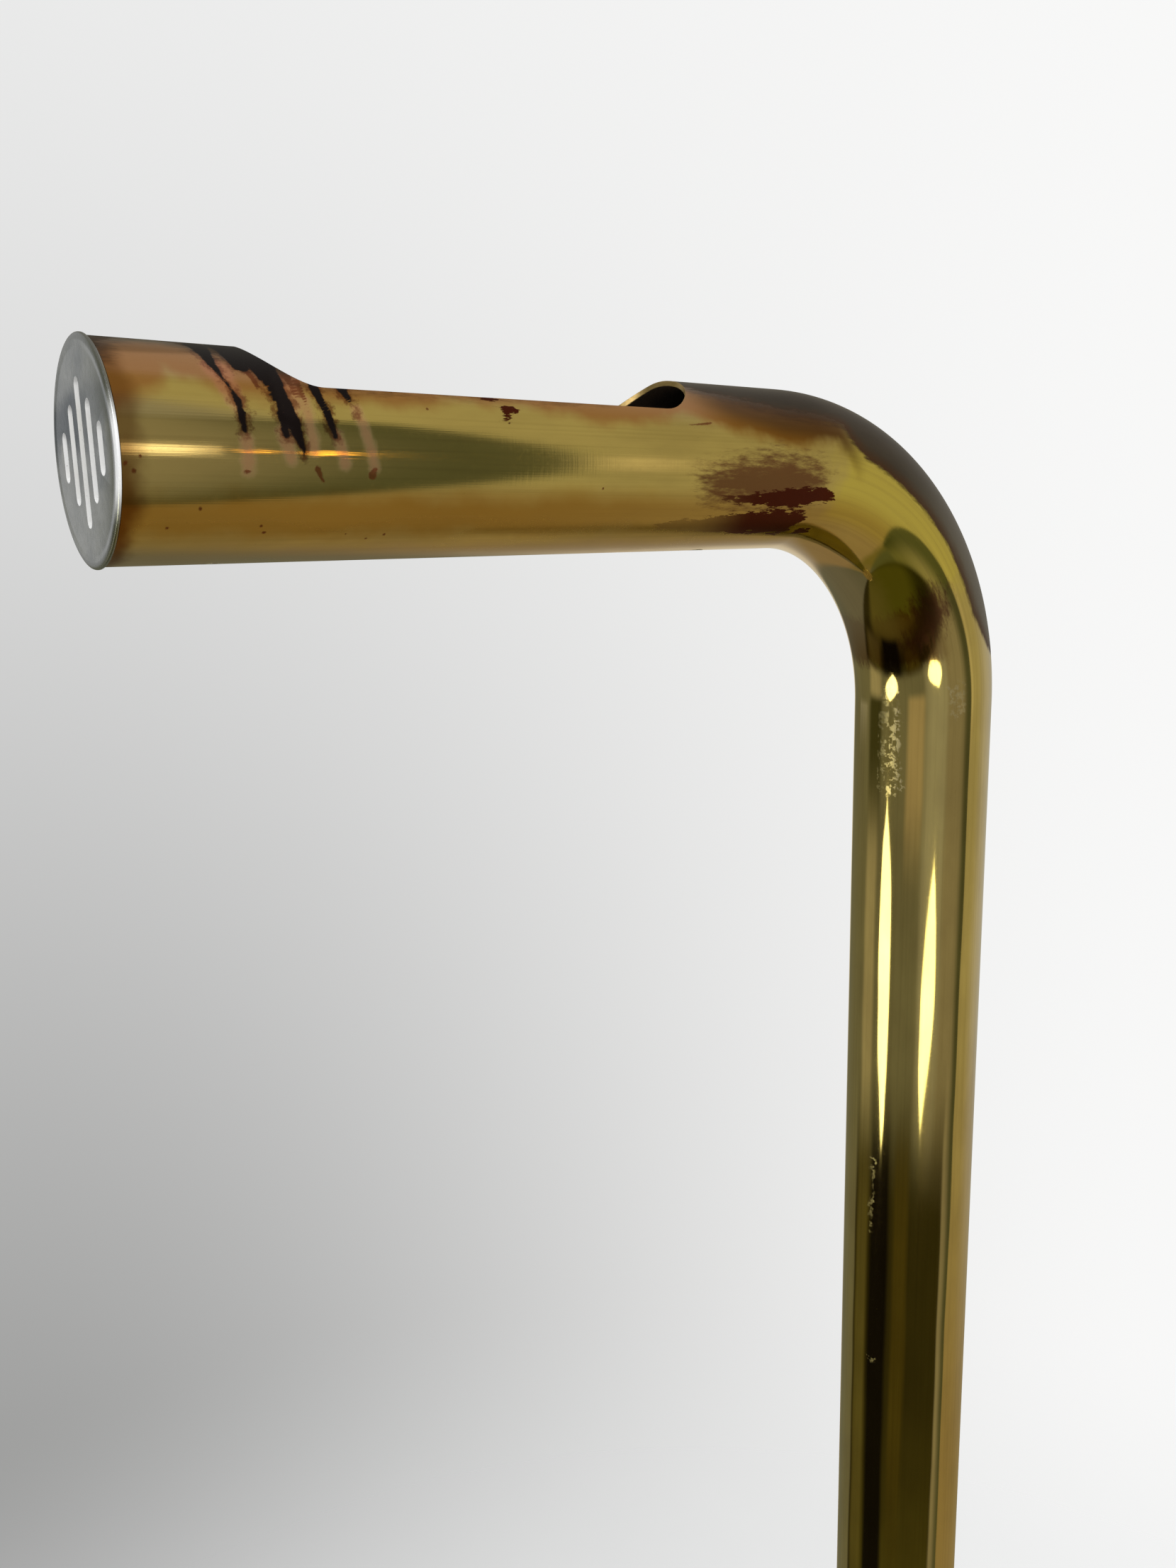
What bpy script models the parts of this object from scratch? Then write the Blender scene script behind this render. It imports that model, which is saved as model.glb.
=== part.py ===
"""A tubular brass uplighter floor lamp.

One two-inch brass tube rises from a round weighted base and bends through a right angle into a short
arm. A long opening in the top of the arm lets out the light of a linear halogen lamp, which lies in
a trough reflector inside the tube. A slotted cap closes the arm and vents it. A rotary dimmer sits on
the post at hand height.

Frame: metres, +Z up, origin on the floor under the post's axis. The arm points along -X, and the
dimmer's knob faces -Y.
"""

import math

import bmesh
import bpy
from mathutils import Vector

MM = 0.001
TOUCH = 0.3 * MM  # space kept between two pieces that touch
RUNNING = 0.12 * MM  # radial clearance of a shaft or pin that moves in its hole

# Sides of turned pieces
LARGE_SIDES = 40
MEDIUM_SIDES = 24
SMALL_SIDES = 14
HOLE_SIDES = 16

# Bent tube
TUBE_RADIUS = 25.4 * MM
TUBE_WALL = 1.5 * MM
TUBE_INSIDE = TUBE_RADIUS - TUBE_WALL
BEND_RADIUS = 85.0 * MM  # of the tube's centre line
ARM_Z = 1775.0 * MM  # height of the arm's axis
ARM_END_X = -299.0 * MM
BEND_STEPS = 10
TUBE_BEVEL_RESOLUTION = 16  # gives 36 sides

# Opening in the top of the arm, seen from above
OPENING_LOW_X = -264.8 * MM
OPENING_HIGH_X = -129.7 * MM
OPENING_HALF_WIDTH = 20.6 * MM
OPENING_CORNER = 15.0 * MM

# Vent cap
CAP_RADIUS = 26.0 * MM
CAP_FACE_RADIUS = 24.0 * MM  # where the rounding of its rim starts
CAP_THICKNESS = 0.9 * MM  # of the flange that shows
CAP_INSET = 1.6 * MM  # how far the slotted plate reaches into the tube
CAP_SPIGOT_RADIUS = TUBE_INSIDE - 0.35 * MM
CAP_SPIGOT_WALL = 1.6 * MM
CAP_SPIGOT_LENGTH = 9.0 * MM
SLOT_WIDTH = 3.8 * MM
SLOT_PITCH = 7.5 * MM
SLOT_LENGTHS = (33.4 * MM, 22.6 * MM, 11.6 * MM)  # the middle one, its neighbours, the outer ones

# Linear halogen lamp, 118 mm size, lying on the arm's axis
LAMP_X = (OPENING_LOW_X + OPENING_HIGH_X) / 2
LAMP_LENGTH = 117.6 * MM
LAMP_CONTACT_SPAN = 114.2 * MM
LAMP_END_RADIUS = 4.0 * MM
LAMP_END_LENGTH = 13.0 * MM
QUARTZ_RADIUS = 5.0 * MM
QUARTZ_WALL = 1.0 * MM
COIL_RADIUS = 0.8 * MM
COIL_WIRE_RADIUS = 0.15 * MM
COIL_LENGTH = 76.0 * MM
COIL_TURNS = 13

# Reflector, a trough round the arm's axis
REFLECTOR_RADIUS = 20.3 * MM
REFLECTOR_SHEET = 0.8 * MM
REFLECTOR_HALF_LENGTH = 52.3 * MM
REFLECTOR_HALF_ANGLE = math.radians(117)  # from straight down to each long edge

# Lampholders
HOLDER_FACE = 52.8 * MM  # from the lamp's middle to the face of each holder
HOLDER_HALF_WIDTH = 9.0 * MM
HOLDER_TOP = 9.0 * MM  # above the arm's axis
HOLDER_BOTTOM = -13.0 * MM
HOLDER_FRONT_LENGTH = 16.0 * MM
HOLDER_REAR_LENGTH = 20.0 * MM
HOLDER_RECESS_RADIUS = 4.7 * MM
HOLDER_RECESS_DEPTH = 6.5 * MM
HOLDER_SCREW_Z = -9.0 * MM
PLUNGER_NOSE_RADIUS = 1.5 * MM
PLUNGER_FLANGE_RADIUS = 3.6 * MM
SPRING_CHAMBER_RADIUS = 4.1 * MM
SPRING_RADIUS = 2.8 * MM
SPRING_WIRE_RADIUS = 0.25 * MM
SPRING_TURNS = 3

# Chassis strip along the bottom of the arm
STRIP_LOW_X = -278.0 * MM
STRIP_HIGH_X = -88.0 * MM
STRIP_HALF_WIDTH = 6.0 * MM
STRIP_BOTTOM = -22.8 * MM  # below the arm's axis
STRIP_THICKNESS = 1.2 * MM
STRIP_TOP = STRIP_BOTTOM + STRIP_THICKNESS
TAB_TOP = -5.0 * MM
M3_RADIUS = 1.5 * MM
M3_HOLE = M3_RADIUS + TOUCH
CHASSIS_SCREW_FRONT_X = -273.0 * MM
CHASSIS_SCREW_REAR_X = -117.0 * MM
REFLECTOR_SCREW_OFFSET = 40.0 * MM

# Terminal block in the arm
BLOCK_LOW_X = -108.0 * MM
BLOCK_HIGH_X = -92.0 * MM
BLOCK_HALF_WIDTH = 8.5 * MM
BLOCK_BOTTOM = STRIP_TOP + TOUCH
BLOCK_TOP = -9.0 * MM
WIRE_Z = -14.0 * MM
POLE_PITCH = 5.0 * MM
POLE_HOLE_RADIUS = 1.5 * MM
POLE_HOLE_DEPTH = 5.0 * MM
LAMP_WIRE_RADIUS = 1.1 * MM
LEAD_RADIUS = 3.0 * MM

# Rotary dimmer on the post; distances are measured from the post's axis towards -Y
DIMMER_Z = 1100.0 * MM
DIMMER_FRONT = 16.0 * MM
DIMMER_BACK = -4.0 * MM
DIMMER_HALF_WIDTH = 12.0 * MM
DIMMER_HALF_HEIGHT = 15.0 * MM
BUSH_RADIUS = 5.0 * MM
BUSH_SHOULDER_RADIUS = 7.5 * MM
BUSH_SHOULDER_END = 22.1 * MM
BUSH_END = 34.0 * MM
SHAFT_RADIUS = 3.0 * MM
SHAFT_HOLE = SHAFT_RADIUS + RUNNING
SADDLE_RADIUS = 11.0 * MM
SADDLE_FRONT = 29.5 * MM
NUT_FRONT = 32.3 * MM
NUT_ACROSS_FLATS = 14.0 * MM
KNOB_RADIUS = 13.0 * MM
KNOB_BACK = 32.6 * MM
KNOB_FRONT = 50.0 * MM
KNOB_RECESS_RADIUS = 9.2 * MM
KNOB_RECESS_END = 36.0 * MM
SHAFT_END = 46.0 * MM
SET_SCREW_AT = 41.0 * MM

# Base
PAD_RADIUS = 134.0 * MM
PAD_TOP = 3.0 * MM
BASE_RADIUS = 140.0 * MM
BASE_TOP = 30.0 * MM
BASE_RIM_Z = 1.5 * MM
BASE_ROUNDING = 12.0 * MM
COVER_SHEET = 1.2 * MM
WEIGHT_RADIUS = 136.0 * MM
WEIGHT_BOTTOM = PAD_TOP + TOUCH
WEIGHT_TOP = BASE_TOP - COVER_SHEET - TOUCH
WEIGHT_ROUNDING = 10.0 * MM
TUBE_FOOT_Z = BASE_TOP + TOUCH
PLUG_RADIUS = TUBE_INSIDE - 0.35 * MM
PLUG_TOP = 62.0 * MM
COLLAR_RADIUS = 36.0 * MM
COLLAR_HEIGHT = 9.0 * MM
BOLT_RADIUS = 5.0 * MM
BOLT_HEAD_ACROSS_FLATS = 17.0 * MM
BOLT_HEAD_TOP = 15.0 * MM
BOLT_HEAD_HEIGHT = 6.4 * MM
WASHER_RADIUS = 11.0 * MM
WASHER_THICKNESS = 2.0 * MM
COUNTERBORE_RADIUS = 13.0 * MM
LEAD_HOLE_X = 17.5 * MM
LEAD_HOLE_RADIUS = 4.0 * MM
GROOVE_HALF_WIDTH = 8.0 * MM
GROOVE_TOP = 18.0 * MM
GROOVE_LOW_X = 13.4 * MM
BASE_BLOCK_LOW_X = 50.0 * MM
BASE_BLOCK_HIGH_X = 72.0 * MM
BUSHING_Z = 12.0 * MM
BUSHING_BORE = 3.5 * MM
BUSHING_NECK = 4.9 * MM
BUSHING_FLANGE = 7.0 * MM
BASE_LEAD_Z = 10.5 * MM

X_AXIS = Vector((1, 0, 0))
Y_AXIS = Vector((0, 1, 0))
Z_AXIS = Vector((0, 0, 1))


# ---------------------------------------------------------------- scene and materials


def clear_scene():
    for obj in list(bpy.data.objects):
        bpy.data.objects.remove(obj, do_unlink=True)


def new_collection(name):
    collection = bpy.data.collections.new(name)
    bpy.context.scene.collection.children.link(collection)
    return collection


def new_material(name, colour, roughness, metallic, transmission=0.0):
    material = bpy.data.materials.new(name)
    material.use_nodes = True
    shader = material.node_tree.nodes["Principled BSDF"]
    shader.inputs["Base Color"].default_value = (*colour, 1)
    shader.inputs["Roughness"].default_value = roughness
    shader.inputs["Metallic"].default_value = metallic
    shader.inputs["Transmission Weight"].default_value = transmission
    return material


clear_scene()
PARTS = new_collection("uplighter_floor_lamp")
CUTTERS = new_collection("cutters")

BRASS = new_material("brass", (0.58, 0.42, 0.12), 0.25, 1.0)
POLISHED_BRASS = new_material("polished_brass", (0.75, 0.55, 0.16), 0.12, 1.0)
NICKEL = new_material("satin_nickel", (0.62, 0.63, 0.62), 0.3, 1.0)
ALUMINIUM = new_material("bright_aluminium", (0.86, 0.86, 0.86), 0.15, 1.0)
STEEL = new_material("zinc_steel", (0.55, 0.56, 0.58), 0.4, 1.0)
TUNGSTEN = new_material("tungsten", (0.3, 0.3, 0.31), 0.45, 1.0)
IRON = new_material("cast_iron", (0.09, 0.09, 0.095), 0.75, 0.6)
CERAMIC = new_material("white_ceramic", (0.85, 0.83, 0.78), 0.5, 0.0)
QUARTZ = new_material("quartz_glass", (0.95, 0.96, 0.97), 0.05, 0.0, 1.0)
SLEEVE = new_material("glass_fibre_sleeve", (0.82, 0.8, 0.74), 0.8, 0.0)
EARTH_GREEN = new_material("earth_wire_green", (0.2, 0.45, 0.06), 0.45, 0.0)
LEAD_BLACK = new_material("black_lead", (0.03, 0.03, 0.03), 0.5, 0.0)
BAKELITE = new_material("black_plastic", (0.04, 0.035, 0.03), 0.4, 0.0)
FELT = new_material("dark_felt", (0.06, 0.06, 0.055), 0.95, 0.0)


# ---------------------------------------------------------------- modelling helpers


def add_object(name, data, material, collection=None):
    obj = bpy.data.objects.new(name, data)
    (collection or PARTS).objects.link(obj)
    if material:
        data.materials.append(material)
    return obj


def make_cutter(obj):
    """Turns an object into a hidden tool for Booleans."""
    for collection in list(obj.users_collection):
        collection.objects.unlink(obj)
    CUTTERS.objects.link(obj)
    obj.hide_render = True
    obj.display_type = "WIRE"
    return obj


def boolean(target, tool, operation="DIFFERENCE"):
    modifier = target.modifiers.new(operation.lower(), "BOOLEAN")
    modifier.operation = operation
    modifier.object = make_cutter(tool)


def box(name, low, high, material, bevel=0.0):
    mesh = bpy.data.meshes.new(name)
    size = Vector(high) - Vector(low)
    solid = bmesh.new()
    bmesh.ops.create_cube(solid, size=1.0)
    bmesh.ops.scale(solid, vec=size, verts=solid.verts)
    solid.to_mesh(mesh)
    solid.free()
    obj = add_object(name, mesh, material)
    obj.location = (Vector(low) + Vector(high)) / 2
    if bevel:
        modifier = obj.modifiers.new("rounded edges", "BEVEL")
        modifier.width = bevel
        modifier.segments = 2
    return obj


def cylinder(name, start, end, radius, material=None, sides=HOLE_SIDES, end_radius=None):
    """A cylinder, or a cone if end_radius is given, from start to end."""
    start, end = Vector(start), Vector(end)
    mesh = bpy.data.meshes.new(name)
    solid = bmesh.new()
    bmesh.ops.create_cone(
        solid,
        cap_ends=True,
        segments=sides,
        radius1=radius,
        radius2=radius if end_radius is None else end_radius,
        depth=(end - start).length,
    )
    solid.to_mesh(mesh)
    solid.free()
    obj = add_object(name, mesh, material)
    obj.location = (start + end) / 2
    obj.rotation_mode = "QUATERNION"
    obj.rotation_quaternion = Z_AXIS.rotation_difference((end - start).normalized())
    mesh.shade_smooth()
    mesh.set_sharp_from_angle(angle=math.radians(35))
    return obj


def turned(name, profile, material, origin, direction=Z_AXIS, steps=MEDIUM_SIDES, closed=False):
    """Turns a profile of (radius, height) points round an axis through origin.

    The profile runs down the outer side. It ends on the axis, or is closed for a ring.
    """
    mesh = bpy.data.meshes.new(name)
    points = [(radius, 0, height) for radius, height in profile]
    edges = [(i, i + 1) for i in range(len(points) - 1)]
    if closed:
        edges.append((len(points) - 1, 0))
    mesh.from_pydata(points, edges, [])
    obj = add_object(name, mesh, material)
    obj.location = origin
    obj.rotation_mode = "QUATERNION"
    obj.rotation_quaternion = Z_AXIS.rotation_difference(Vector(direction))
    screw = obj.modifiers.new("turned", "SCREW")
    screw.steps = steps
    screw.render_steps = steps
    screw.use_merge_vertices = True
    screw.merge_threshold = 0.00001
    screw.use_smooth_shade = True
    return obj


def ring(name, outer, inner, low, high, material, origin, direction=Z_AXIS, steps=MEDIUM_SIDES):
    profile = [(inner, high), (outer, high), (outer, low), (inner, low)]
    return turned(name, profile, material, origin, direction, steps, closed=True)


def arc(centre, radius, start, end, steps):
    """Points on an arc in a plane, angles in degrees."""
    points = []
    for i in range(steps + 1):
        angle = math.radians(start + (end - start) * i / steps)
        points.append((centre[0] + radius * math.cos(angle), centre[1] + radius * math.sin(angle)))
    return points


def rounded_rectangle(half_length, half_width, corner, steps=6):
    outline = []
    for quarter, (side_x, side_y) in enumerate(((1, 1), (-1, 1), (-1, -1), (1, -1))):
        centre = (side_x * (half_length - corner), side_y * (half_width - corner))
        outline += arc(centre, corner, quarter * 90, quarter * 90 + 90, steps)
    return outline


def hexagon(across_flats):
    corner = across_flats / math.sqrt(3)
    return [(corner * math.cos(math.radians(60 * i)), corner * math.sin(math.radians(60 * i))) for i in range(6)]


def to_mesh_object(obj, material):
    """Replaces a curve with a mesh object whose caps are welded on."""
    bpy.context.view_layer.update()
    evaluated = obj.evaluated_get(bpy.context.evaluated_depsgraph_get())
    mesh = bpy.data.meshes.new_from_object(evaluated)
    solid = bmesh.new()
    solid.from_mesh(mesh)
    bmesh.ops.remove_doubles(solid, verts=solid.verts, dist=0.000001)
    bmesh.ops.recalc_face_normals(solid, faces=solid.faces)
    solid.to_mesh(mesh)
    solid.free()
    name = obj.name
    matrix = obj.matrix_world.copy()
    bpy.data.objects.remove(obj, do_unlink=True)
    mesh.materials.clear()
    result = add_object(name, mesh, material)
    result.matrix_world = matrix
    return result


def prism(name, outline, thickness, centre, direction, material=None):
    """A flat outline extruded to a thickness, facing a direction.

    Facing +Z, the outline's axes are X and Y. Facing +X, they are -Z and Y. Facing +Y, X and -Z.
    """
    curve = bpy.data.curves.new(name, "CURVE")
    curve.dimensions = "2D"
    curve.fill_mode = "BOTH"
    curve.extrude = thickness / 2
    spline = curve.splines.new("POLY")
    spline.points.add(len(outline) - 1)
    for point, (x, y) in zip(spline.points, outline):
        point.co = (x, y, 0, 1)
    spline.use_cyclic_u = True
    obj = add_object(name, curve, None)
    obj.location = centre
    obj.rotation_mode = "QUATERNION"
    obj.rotation_quaternion = Z_AXIS.rotation_difference(Vector(direction))
    return to_mesh_object(obj, material)


def swept(name, path, radius, bevel_resolution, material):
    """A round bar, wire or lead along a path, as a curve object."""
    curve = bpy.data.curves.new(name, "CURVE")
    curve.dimensions = "3D"
    curve.bevel_depth = radius
    curve.bevel_resolution = bevel_resolution
    curve.use_fill_caps = True
    spline = curve.splines.new("POLY")
    spline.points.add(len(path) - 1)
    for point, position in zip(spline.points, path):
        point.co = (*position, 1)
    return add_object(name, curve, material)


def smooth_path(points, spacing):
    """A Hermite curve through the route's points, read at about the given spacing."""
    route = [Vector(p) for p in points]
    last = len(route) - 1
    headings = [(route[min(i + 1, last)] - route[max(i - 1, 0)]).normalized() for i in range(last + 1)]
    path = []
    for i in range(last):
        chord = (route[i + 1] - route[i]).length
        count = max(2, round(chord / spacing))
        for step in range(count):
            t = step / count
            blend = 3 * t**2 - 2 * t**3
            leaving = headings[i] * chord * (t**3 - 2 * t**2 + t)
            arriving = headings[i + 1] * chord * (t**3 - t**2)
            path.append(route[i].lerp(route[i + 1], blend) + leaving + arriving)
    path.append(route[-1])
    return path


def in_arm(x, y, z):
    """A place in the arm: z is measured from the arm's axis."""
    return Vector((x, y, ARM_Z + z))


def machine_screw(name, tip, head_base, head_radius, head_height, slot_direction, material=STEEL):
    """A slotted pan-head screw from its tip to the underside of its head."""
    tip, head_base = Vector(tip), Vector(head_base)
    axis = (head_base - tip).normalized()
    length = (head_base - tip).length
    top = length + head_height
    crown = 0.3 * head_height
    profile = [
        (0, top),
        (head_radius - crown, top),
        (head_radius, top - crown),
        (head_radius, length),
        (M3_RADIUS, length),
        (M3_RADIUS, 0.4 * MM),
        (M3_RADIUS - 0.4 * MM, 0),
        (0, 0),
    ]
    screw = turned(name, profile, material, tip, axis, SMALL_SIDES)
    slot_half = Vector(slot_direction) * (head_radius + 1 * MM)
    across = axis.cross(Vector(slot_direction)) * 0.35 * MM
    depth = axis * 0.5 * head_height
    middle = head_base + axis * head_height
    corner = [abs(a) + abs(b) + abs(c) for a, b, c in zip(slot_half, across, depth)]
    cutter = box(f"{name}_slot", middle - Vector(corner), middle + Vector(corner), None)
    boolean(screw, cutter)
    return screw


# ---------------------------------------------------------------- the bent tube and its cap


def tube_path(end_x, foot_z):
    """Centre line of the tube, from the arm's end round the bend to the foot."""
    centre = (-BEND_RADIUS, ARM_Z - BEND_RADIUS)
    bend = arc(centre, BEND_RADIUS, 90, 0, BEND_STEPS)
    return [(end_x, 0, ARM_Z)] + [(x, 0, z) for x, z in bend] + [(0, 0, foot_z)]


def bent_tube():
    outside = swept("bent_tube", tube_path(ARM_END_X, TUBE_FOOT_Z), TUBE_RADIUS, TUBE_BEVEL_RESOLUTION, None)
    tube = to_mesh_object(outside, BRASS)
    inside_path = tube_path(ARM_END_X - 5 * MM, TUBE_FOOT_Z - 5 * MM)
    inside = swept("tube_inside", inside_path, TUBE_INSIDE, TUBE_BEVEL_RESOLUTION, None)
    boolean(tube, to_mesh_object(inside, None))

    half_length = (OPENING_HIGH_X - OPENING_LOW_X) / 2
    outline = rounded_rectangle(half_length, OPENING_HALF_WIDTH, OPENING_CORNER)
    height = 2 * TUBE_RADIUS
    opening = prism("light_opening", outline, height, in_arm(LAMP_X, 0, height / 2), Z_AXIS)
    boolean(tube, opening)

    for index, x in enumerate((CHASSIS_SCREW_FRONT_X, CHASSIS_SCREW_REAR_X)):
        low = in_arm(x, 0, -TUBE_RADIUS - 0.1 * MM)
        high = in_arm(x, 0, -TUBE_INSIDE + 0.5 * MM)
        sink = cylinder(f"countersink_{index}", low, high, 3.3 * MM, None, HOLE_SIDES, M3_HOLE)
        boolean(tube, sink)

    start = (0, -TUBE_RADIUS - 5 * MM, DIMMER_Z)
    end = (0, -TUBE_INSIDE + 8 * MM, DIMMER_Z)
    boolean(tube, cylinder("dimmer_hole", start, end, BUSH_RADIUS + TOUCH))


def vent_cap():
    rim = CAP_RADIUS - CAP_FACE_RADIUS
    spigot_inside = CAP_SPIGOT_RADIUS - CAP_SPIGOT_WALL
    rounding = [
        (CAP_FACE_RADIUS + rim * math.sin(a), CAP_THICKNESS - 0.55 * CAP_THICKNESS * (1 - math.cos(a)))
        for a in (math.radians(step) for step in (0, 30, 60, 90))
    ]
    profile = [(0, CAP_THICKNESS)] + rounding
    profile += [
        (CAP_RADIUS, 0),
        (CAP_SPIGOT_RADIUS, 0),
        (CAP_SPIGOT_RADIUS, -CAP_SPIGOT_LENGTH + 0.5 * MM),
        (CAP_SPIGOT_RADIUS - 0.5 * MM, -CAP_SPIGOT_LENGTH),
        (spigot_inside, -CAP_SPIGOT_LENGTH),
        (spigot_inside, -CAP_INSET),
        (0, -CAP_INSET),
    ]
    cap = turned("vent_cap", profile, NICKEL, in_arm(ARM_END_X - TOUCH, 0, 0), -X_AXIS, LARGE_SIDES)
    for index in range(-2, 3):
        length = SLOT_LENGTHS[abs(index)]
        outline = rounded_rectangle(length / 2, SLOT_WIDTH / 2, SLOT_WIDTH / 2 - 0.01 * MM, 3)
        centre = in_arm(ARM_END_X - TOUCH - CAP_THICKNESS / 2, index * SLOT_PITCH, 0)
        boolean(cap, prism(f"vent_slot_{index + 2}", outline, 4 * (CAP_THICKNESS + CAP_INSET), centre, X_AXIS))


# ---------------------------------------------------------------- lamp, holders and reflector


def lamp():
    half = LAMP_LENGTH / 2
    contact = LAMP_CONTACT_SPAN / 2
    quartz_half = half - LAMP_END_LENGTH + 4 * MM
    ring(
        "lamp_tube",
        QUARTZ_RADIUS,
        QUARTZ_RADIUS - QUARTZ_WALL,
        -quartz_half,
        quartz_half,
        QUARTZ,
        in_arm(LAMP_X, 0, 0),
        X_AXIS,
        HOLE_SIDES,
    )
    plug_radius = QUARTZ_RADIUS - QUARTZ_WALL - TOUCH
    for end, side in (("front", -1), ("rear", 1)):
        recess = contact - 0.8 * MM
        profile = [
            (2.2 * MM, half),
            (LAMP_END_RADIUS - 0.5 * MM, half),
            (LAMP_END_RADIUS, half - 0.5 * MM),
            (LAMP_END_RADIUS, quartz_half + TOUCH),
            (plug_radius, quartz_half + TOUCH),
            (plug_radius, quartz_half - 5 * MM),
            (0, quartz_half - 5 * MM),
        ]
        profile = [(0, recess), (2.2 * MM, recess)] + profile
        turned(f"lamp_end_{end}", profile, CERAMIC, in_arm(LAMP_X, 0, 0), X_AXIS * side, SMALL_SIDES)
        disc = [(0, contact), (1.7 * MM, contact), (1.9 * MM, recess + TOUCH), (0, recess + TOUCH)]
        turned(f"lamp_contact_{end}", disc, NICKEL, in_arm(LAMP_X, 0, 0), X_AXIS * side, SMALL_SIDES)
    filament(quartz_half - 5 * MM - TOUCH)


def filament(reach):
    """A coil with a straight tail to each ceramic end."""
    steps = COIL_TURNS * 5
    path = [in_arm(LAMP_X - reach, 0, 0)]
    for i in range(steps + 1):
        angle = 2 * math.pi * i * COIL_TURNS / steps
        x = LAMP_X + COIL_LENGTH * (i / steps - 0.5)
        path.append(in_arm(x, COIL_RADIUS * math.cos(angle), COIL_RADIUS * math.sin(angle)))
    path.append(in_arm(LAMP_X + reach, 0, 0))
    swept("lamp_filament", path, COIL_WIRE_RADIUS, 0, TUNGSTEN)


def reflector():
    """Sheet bent to part of a cylinder, open at the top."""
    steps = 26
    mesh = bpy.data.meshes.new("reflector")
    sheet = bmesh.new()
    previous = None
    for i in range(steps + 1):
        angle = -math.pi / 2 + REFLECTOR_HALF_ANGLE * (2 * i / steps - 1)
        y = REFLECTOR_RADIUS * math.cos(angle)
        z = REFLECTOR_RADIUS * math.sin(angle)
        pair = [sheet.verts.new((x, y, z)) for x in (-REFLECTOR_HALF_LENGTH, REFLECTOR_HALF_LENGTH)]
        if previous:
            sheet.faces.new((previous[0], pair[0], pair[1], previous[1]))
        previous = pair
    sheet.to_mesh(mesh)
    sheet.free()
    mesh.shade_smooth()
    obj = add_object("reflector", mesh, ALUMINIUM)
    obj.location = in_arm(LAMP_X, 0, 0)
    solidify = obj.modifiers.new("sheet", "SOLIDIFY")
    solidify.thickness = REFLECTOR_SHEET
    solidify.offset = -1
    for side, end in ((-1, "front"), (1, "rear")):
        x = LAMP_X + side * REFLECTOR_SCREW_OFFSET
        low = in_arm(x, 0, -REFLECTOR_RADIUS - 2 * MM)
        high = in_arm(x, 0, -REFLECTOR_RADIUS + 3 * MM)
        boolean(obj, cylinder(f"reflector_hole_{end}", low, high, M3_HOLE))
        head = -REFLECTOR_RADIUS + REFLECTOR_SHEET + TOUCH
        machine_screw(
            f"reflector_screw_{end}",
            in_arm(x, 0, STRIP_BOTTOM - 0.2 * MM),
            in_arm(x, 0, head),
            2.6 * MM,
            1.6 * MM,
            X_AXIS,
        )


def lampholders():
    for end, side, length in (("front", -1, HOLDER_FRONT_LENGTH), ("rear", 1, HOLDER_REAR_LENGTH)):
        inner = LAMP_X + side * HOLDER_FACE
        outer = inner + side * length
        low = in_arm(min(inner, outer), -HOLDER_HALF_WIDTH, HOLDER_BOTTOM)
        high = in_arm(max(inner, outer), HOLDER_HALF_WIDTH, HOLDER_TOP)
        holder = box(f"lampholder_{end}", low, high, CERAMIC, bevel=1.2 * MM)
        recess_end = inner + side * HOLDER_RECESS_DEPTH
        start = in_arm(inner - side * 1 * MM, 0, 0)
        recess = cylinder(f"recess_{end}", start, in_arm(recess_end, 0, 0), HOLDER_RECESS_RADIUS)
        boolean(holder, recess)
        guide_end = in_arm(outer + side * 1 * MM, 0, 0)
        guide = cylinder(
            f"contact_hole_{end}",
            in_arm(recess_end - side * 1 * MM, 0, 0),
            guide_end,
            PLUNGER_NOSE_RADIUS + RUNNING,
        )
        boolean(holder, guide)
        if end == "rear":
            chamber_start = in_arm(recess_end + 3 * MM, 0, 0)
            boolean(holder, cylinder("spring_chamber", chamber_start, guide_end, SPRING_CHAMBER_RADIUS))
        screw_start = in_arm(outer - side * 7 * MM, 0, HOLDER_SCREW_Z)
        screw_end = in_arm(outer + side * 2 * MM, 0, HOLDER_SCREW_Z)
        boolean(holder, cylinder(f"holder_screw_hole_{end}", screw_start, screw_end, M3_HOLE))
        machine_screw(
            f"holder_screw_{end}",
            in_arm(outer - side * 6 * MM, 0, HOLDER_SCREW_Z),
            in_arm(outer + side * (2 * TOUCH + STRIP_THICKNESS), 0, HOLDER_SCREW_Z),
            2.6 * MM,
            1.6 * MM,
            Y_AXIS,
        )


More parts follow.
